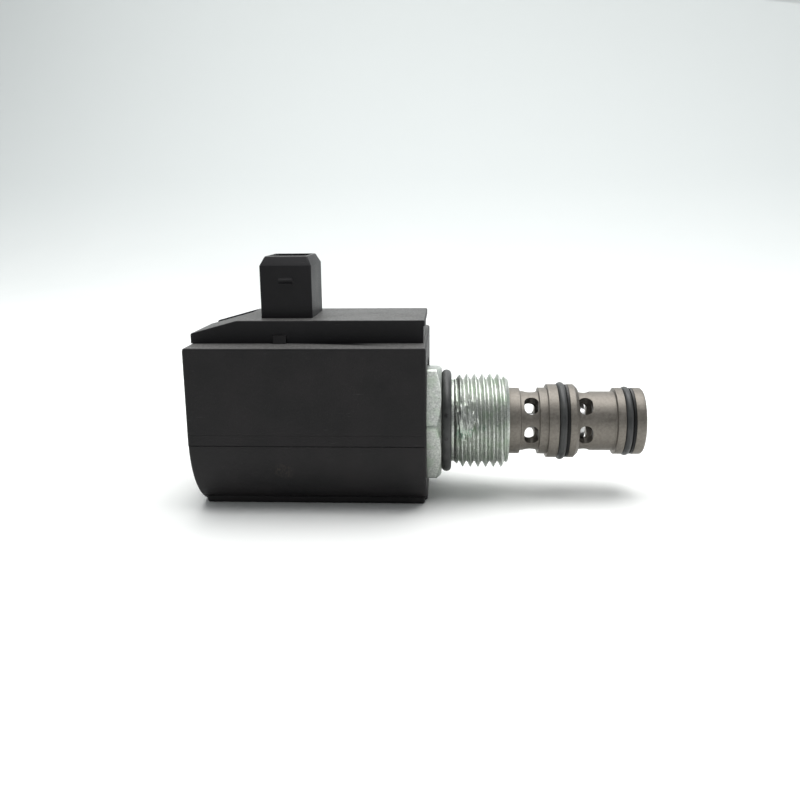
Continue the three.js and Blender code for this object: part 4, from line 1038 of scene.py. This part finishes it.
def connector_cover(materials):
    stations = rounded_ends(-COVER_HALF, COVER_HALF, 0.35)
    piece = loft("terminal_cover", [cover_loop(y, inset) for y, inset in stations])
    carve(piece, shroud_solid(), "UNION")
    # The channel down the slope, and the end wall set back under the roof.
    slope = (COVER_TOP - COVER_REAR_TOP) / SLOPE_LENGTH
    far = COVER_HALF - CHANNEL_RAIL
    floor = [
        (COVER_LOW - 1, COVER_REAR_TOP - slope - CHANNEL_DEPTH),
        (COVER_LOW + SLOPE_LENGTH, COVER_TOP - CHANNEL_DEPTH),
        (COVER_LOW + SLOPE_LENGTH, COVER_TOP + 1), (COVER_LOW - 1, COVER_TOP + 1),
    ]
    ends = [[place(x, y, z) for x, z in floor] for y in (far - CHANNEL_WIDTH, far)]
    carve(piece, loft("channel_tool", ends))
    low_corner = COVER_HIGH - ROOF_OVERHANG, -20, LEDGE_HEIGHT - 1
    carve(piece, block("roof_tool", low_corner, (COVER_HIGH + 1, 20, COVER_TOP - ROOF_THICKNESS)))
    # Two wedge ridges on the near side, sunk a little into the shroud's wall.
    root, crest = 0.1 - SHROUD_HALF_DEPTH, -0.4 - SHROUD_HALF_DEPTH
    for k in range(2):
        top = LATCH_TOP - k
        foot = top - LATCH_HEIGHT
        section = [(root, top + 0.03), (crest, foot + 0.1), (crest, foot + 0.02), (root, foot)]
        spans = (SHROUD_X - LATCH_HALF_WIDTH, SHROUD_X + LATCH_HALF_WIDTH)
        carve(piece, loft("latch_ridge", [[place(x, y, z) for y, z in section] for x in spans]), "UNION")
    # The socket, the hollow under the block, the catch windows and the blade slots.
    carve(piece, socket_tool())
    rear, front, ceiling = COVER_LOW + COVER_WALL, COVER_HIGH - COVER_WALL, COVER_TOP - COVER_WALL
    inner = [
        (rear, LEDGE_HEIGHT - 1), (front, LEDGE_HEIGHT - 1), (front, ceiling),
        (COVER_LOW + SLOPE_LENGTH, ceiling), (rear, COVER_REAR_TOP - COVER_WALL + COVER_WALL * slope),
    ]
    half = COVER_HALF - COVER_WALL
    carve(piece, loft("hollow_tool", [[place(x, y, z) for x, z in inner] for y in (-half, half)]))
    low_corner = CATCH_X - WINDOW_HALF_LENGTH, -20, LEDGE_HEIGHT - 1
    high_corner = CATCH_X + WINDOW_HALF_LENGTH, 20, LEDGE_HEIGHT + WINDOW_HEIGHT
    carve(piece, block("window_tool", low_corner, high_corner))
    for y in (-BLADE_HALF_SPACING, BLADE_HALF_SPACING):
        carve(piece, block("slot_tool", (SHROUD_X - 1.45, y - 0.45, 15), (SHROUD_X + 1.45, y + 0.45, 28)))
    soften(piece, 0.1)
    stand_for(piece, "coil", "cover_plastic", materials, "connector_cover")


def terminals(materials):
    """Two tinned blades with chamfered tips."""
    for node, name in (("terminal_front", "blade_front"), ("terminal_back", "blade_back")):
        low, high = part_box(node)
        centre = (low + high) / 2
        half_x, half_y = (high.x - low.x) / 2, (high.y - low.y) / 2
        loops = []
        for z, inset_x, inset_y in (
            (low.z, 0.1, 0.1), (low.z + 0.1 * MM, 0, 0), (high.z - 1.3 * MM, 0, 0),
            (high.z - 0.3 * MM, 0.5, 0.2), (high.z, 0.8, 0.3),
        ):
            outline = rounded_rectangle(half_x / MM - inset_x, half_y / MM - inset_y, 0.09, 3)
            loops.append([Vector((centre.x + x * MM, centre.y + y * MM, z)) for x, y in outline])
        piece = loft(name, loops)
        stand_for(piece, "coil", "tin_plate", materials, node)


def dress_frame_nodes(materials):
    """Finishes for the CAD nodes that stay, all of them inside the valve."""
    finishes = {
        "retaining_clip": "spring_steel", "plunger": "dark_steel", "front_flux_washer": "dark_steel",
        "flux_shell": "dark_steel", "bobbin": "bobbin_plastic", "terminal_carrier": "bobbin_plastic",
        "suppression_diode": "diode_epoxy",
    }
    for node, slot in finishes.items():
        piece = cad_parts[node]
        piece.data.materials.clear()
        piece.data.materials.append(materials[slot])


# ---------------------------------------------------------------- stage, light and camera

def sweep(name, half_width, near, far, height, radius):
    """A floor that curves up into a backdrop."""
    profile = [(near, 0.0), (far - radius, 0.0)]
    for k in range(1, 17):
        turn = math.pi / 2 * k / 16
        profile.append((far - radius + radius * math.sin(turn), radius * (1 - math.cos(turn))))
    profile.append((far, height))
    bm = bmesh.new()
    rows = [[bm.verts.new((x, y, z)) for y, z in profile] for x in (-half_width, half_width)]
    for i in range(len(profile) - 1):
        bm.faces.new((rows[0][i], rows[1][i], rows[1][i + 1], rows[0][i + 1]))
    mesh = bpy.data.meshes.new(name)
    bm.to_mesh(mesh)
    bm.free()
    mesh.shade_smooth()
    piece = bpy.data.objects.new(name, mesh)
    bpy.context.scene.collection.objects.link(piece)
    return piece


def stage():
    floor = sweep("floor", 1.6, -1.2, 0.9, 1.4, 0.5)
    s = Shader("floor_paper")
    tone = s.noise(60, 3)
    paper = s.mix(s.ramp(tone, 0.3, 0.7), linear(246, 247, 245), linear(252, 252, 250))
    # Painted shade: the paper turns greyer towards the back and up the backdrop, where less light reaches
    # it.
    s.set(Base_Color=s.mix(s.ramp(s.axis("y"), 0.1, 0.7), paper, linear(214, 218, 217)))
    s.set(Roughness=0.75, Specular_IOR_Level=0.2)
    floor.data.materials.append(s.material)


def area_light(name, location, target, size, power, colour=(1, 1, 1)):
    light = bpy.data.lights.new(name, "AREA")
    light.shape = "RECTANGLE"
    light.size, light.size_y = size
    light.energy = power
    light.color = colour
    lamp = bpy.data.objects.new(name, light)
    lamp.location = location
    lamp.rotation_euler = (Vector(target) - Vector(location)).to_track_quat("-Z", "Y").to_euler()
    bpy.context.scene.collection.objects.link(lamp)


def lighting():
    area_light("overhead_softbox", (0.05, 0.1, 0.8), (0, 0, 0), (1.0, 0.7), 8.5)
    area_light("back_softbox", (0.1, 0.75, 0.5), (0, 0.1, 0.02), (1.2, 0.7), 2.6)
    world = bpy.data.worlds.new("studio")
    world.use_nodes = True
    tree = world.node_tree
    background = tree.nodes["Background"]
    background.inputs["Strength"].default_value = 0.56
    # The room is bright behind and above the table and dim in front of it.
    direction = tree.nodes.new("ShaderNodeTexCoord").outputs["Generated"]
    axes = tree.nodes.new("ShaderNodeSeparateXYZ")
    tree.links.new(direction, axes.inputs["Vector"])
    fade = tree.nodes.new("ShaderNodeMapRange")
    fade.inputs["From Min"].default_value, fade.inputs["From Max"].default_value = -0.75, 0.35
    tree.links.new(axes.outputs["Y"], fade.inputs["Value"])
    mix = tree.nodes.new("ShaderNodeMix")
    mix.data_type = "RGBA"
    tree.links.new(fade.outputs["Result"], mix.inputs[0])
    mix.inputs[6].default_value = (0.52, 0.54, 0.55, 1.0)
    mix.inputs[7].default_value = (0.93, 0.97, 1.0, 1.0)
    tree.links.new(mix.outputs[2], background.inputs["Color"])
    bpy.context.scene.world = world
    bpy.context.scene.view_settings.view_transform = "Standard"


# The camera stands in front of the valve, a little above it, and looks slightly down and to the left.
CAMERA_PLACE = (1.27, -193.98, 48.74)  # millimetres from the sealing face's centre
CAMERA_PITCH, CAMERA_YAW, CAMERA_ROLL = 12.71, 3.32, -0.59
CAMERA_LENS, SENSOR = 37.46, 36.0


def camera():
    data = bpy.data.cameras.new("camera")
    data.lens, data.sensor_width = CAMERA_LENS, SENSOR
    data.clip_start = 0.005
    made = bpy.data.objects.new("camera", data)
    turn = (
        Matrix.Rotation(math.radians(CAMERA_YAW), 4, "Z")
        @ Matrix.Rotation(math.radians(90 - CAMERA_PITCH), 4, "X")
        @ Matrix.Rotation(math.radians(CAMERA_ROLL), 4, "Z")
    )
    made.matrix_world = Matrix.Translation(place(*CAMERA_PLACE)) @ turn
    bpy.context.scene.collection.objects.link(made)
    bpy.context.scene.camera = made


def build():
    camera()
    materials = make_materials()
    valve_body(materials)
    cage(materials)
    spool(materials)
    spool_spring(materials)
    seals(materials)
    coil_nut(materials)
    end_plug(materials)
    inner_sleeves(materials)
    winding(materials)
    coil_casing(materials)
    connector_cover(materials)
    terminals(materials)
    dress_frame_nodes(materials)
    stage()
    lighting()


build()


def plain(bounds):
    return [list(map(float, corner)) for corner in bounds]
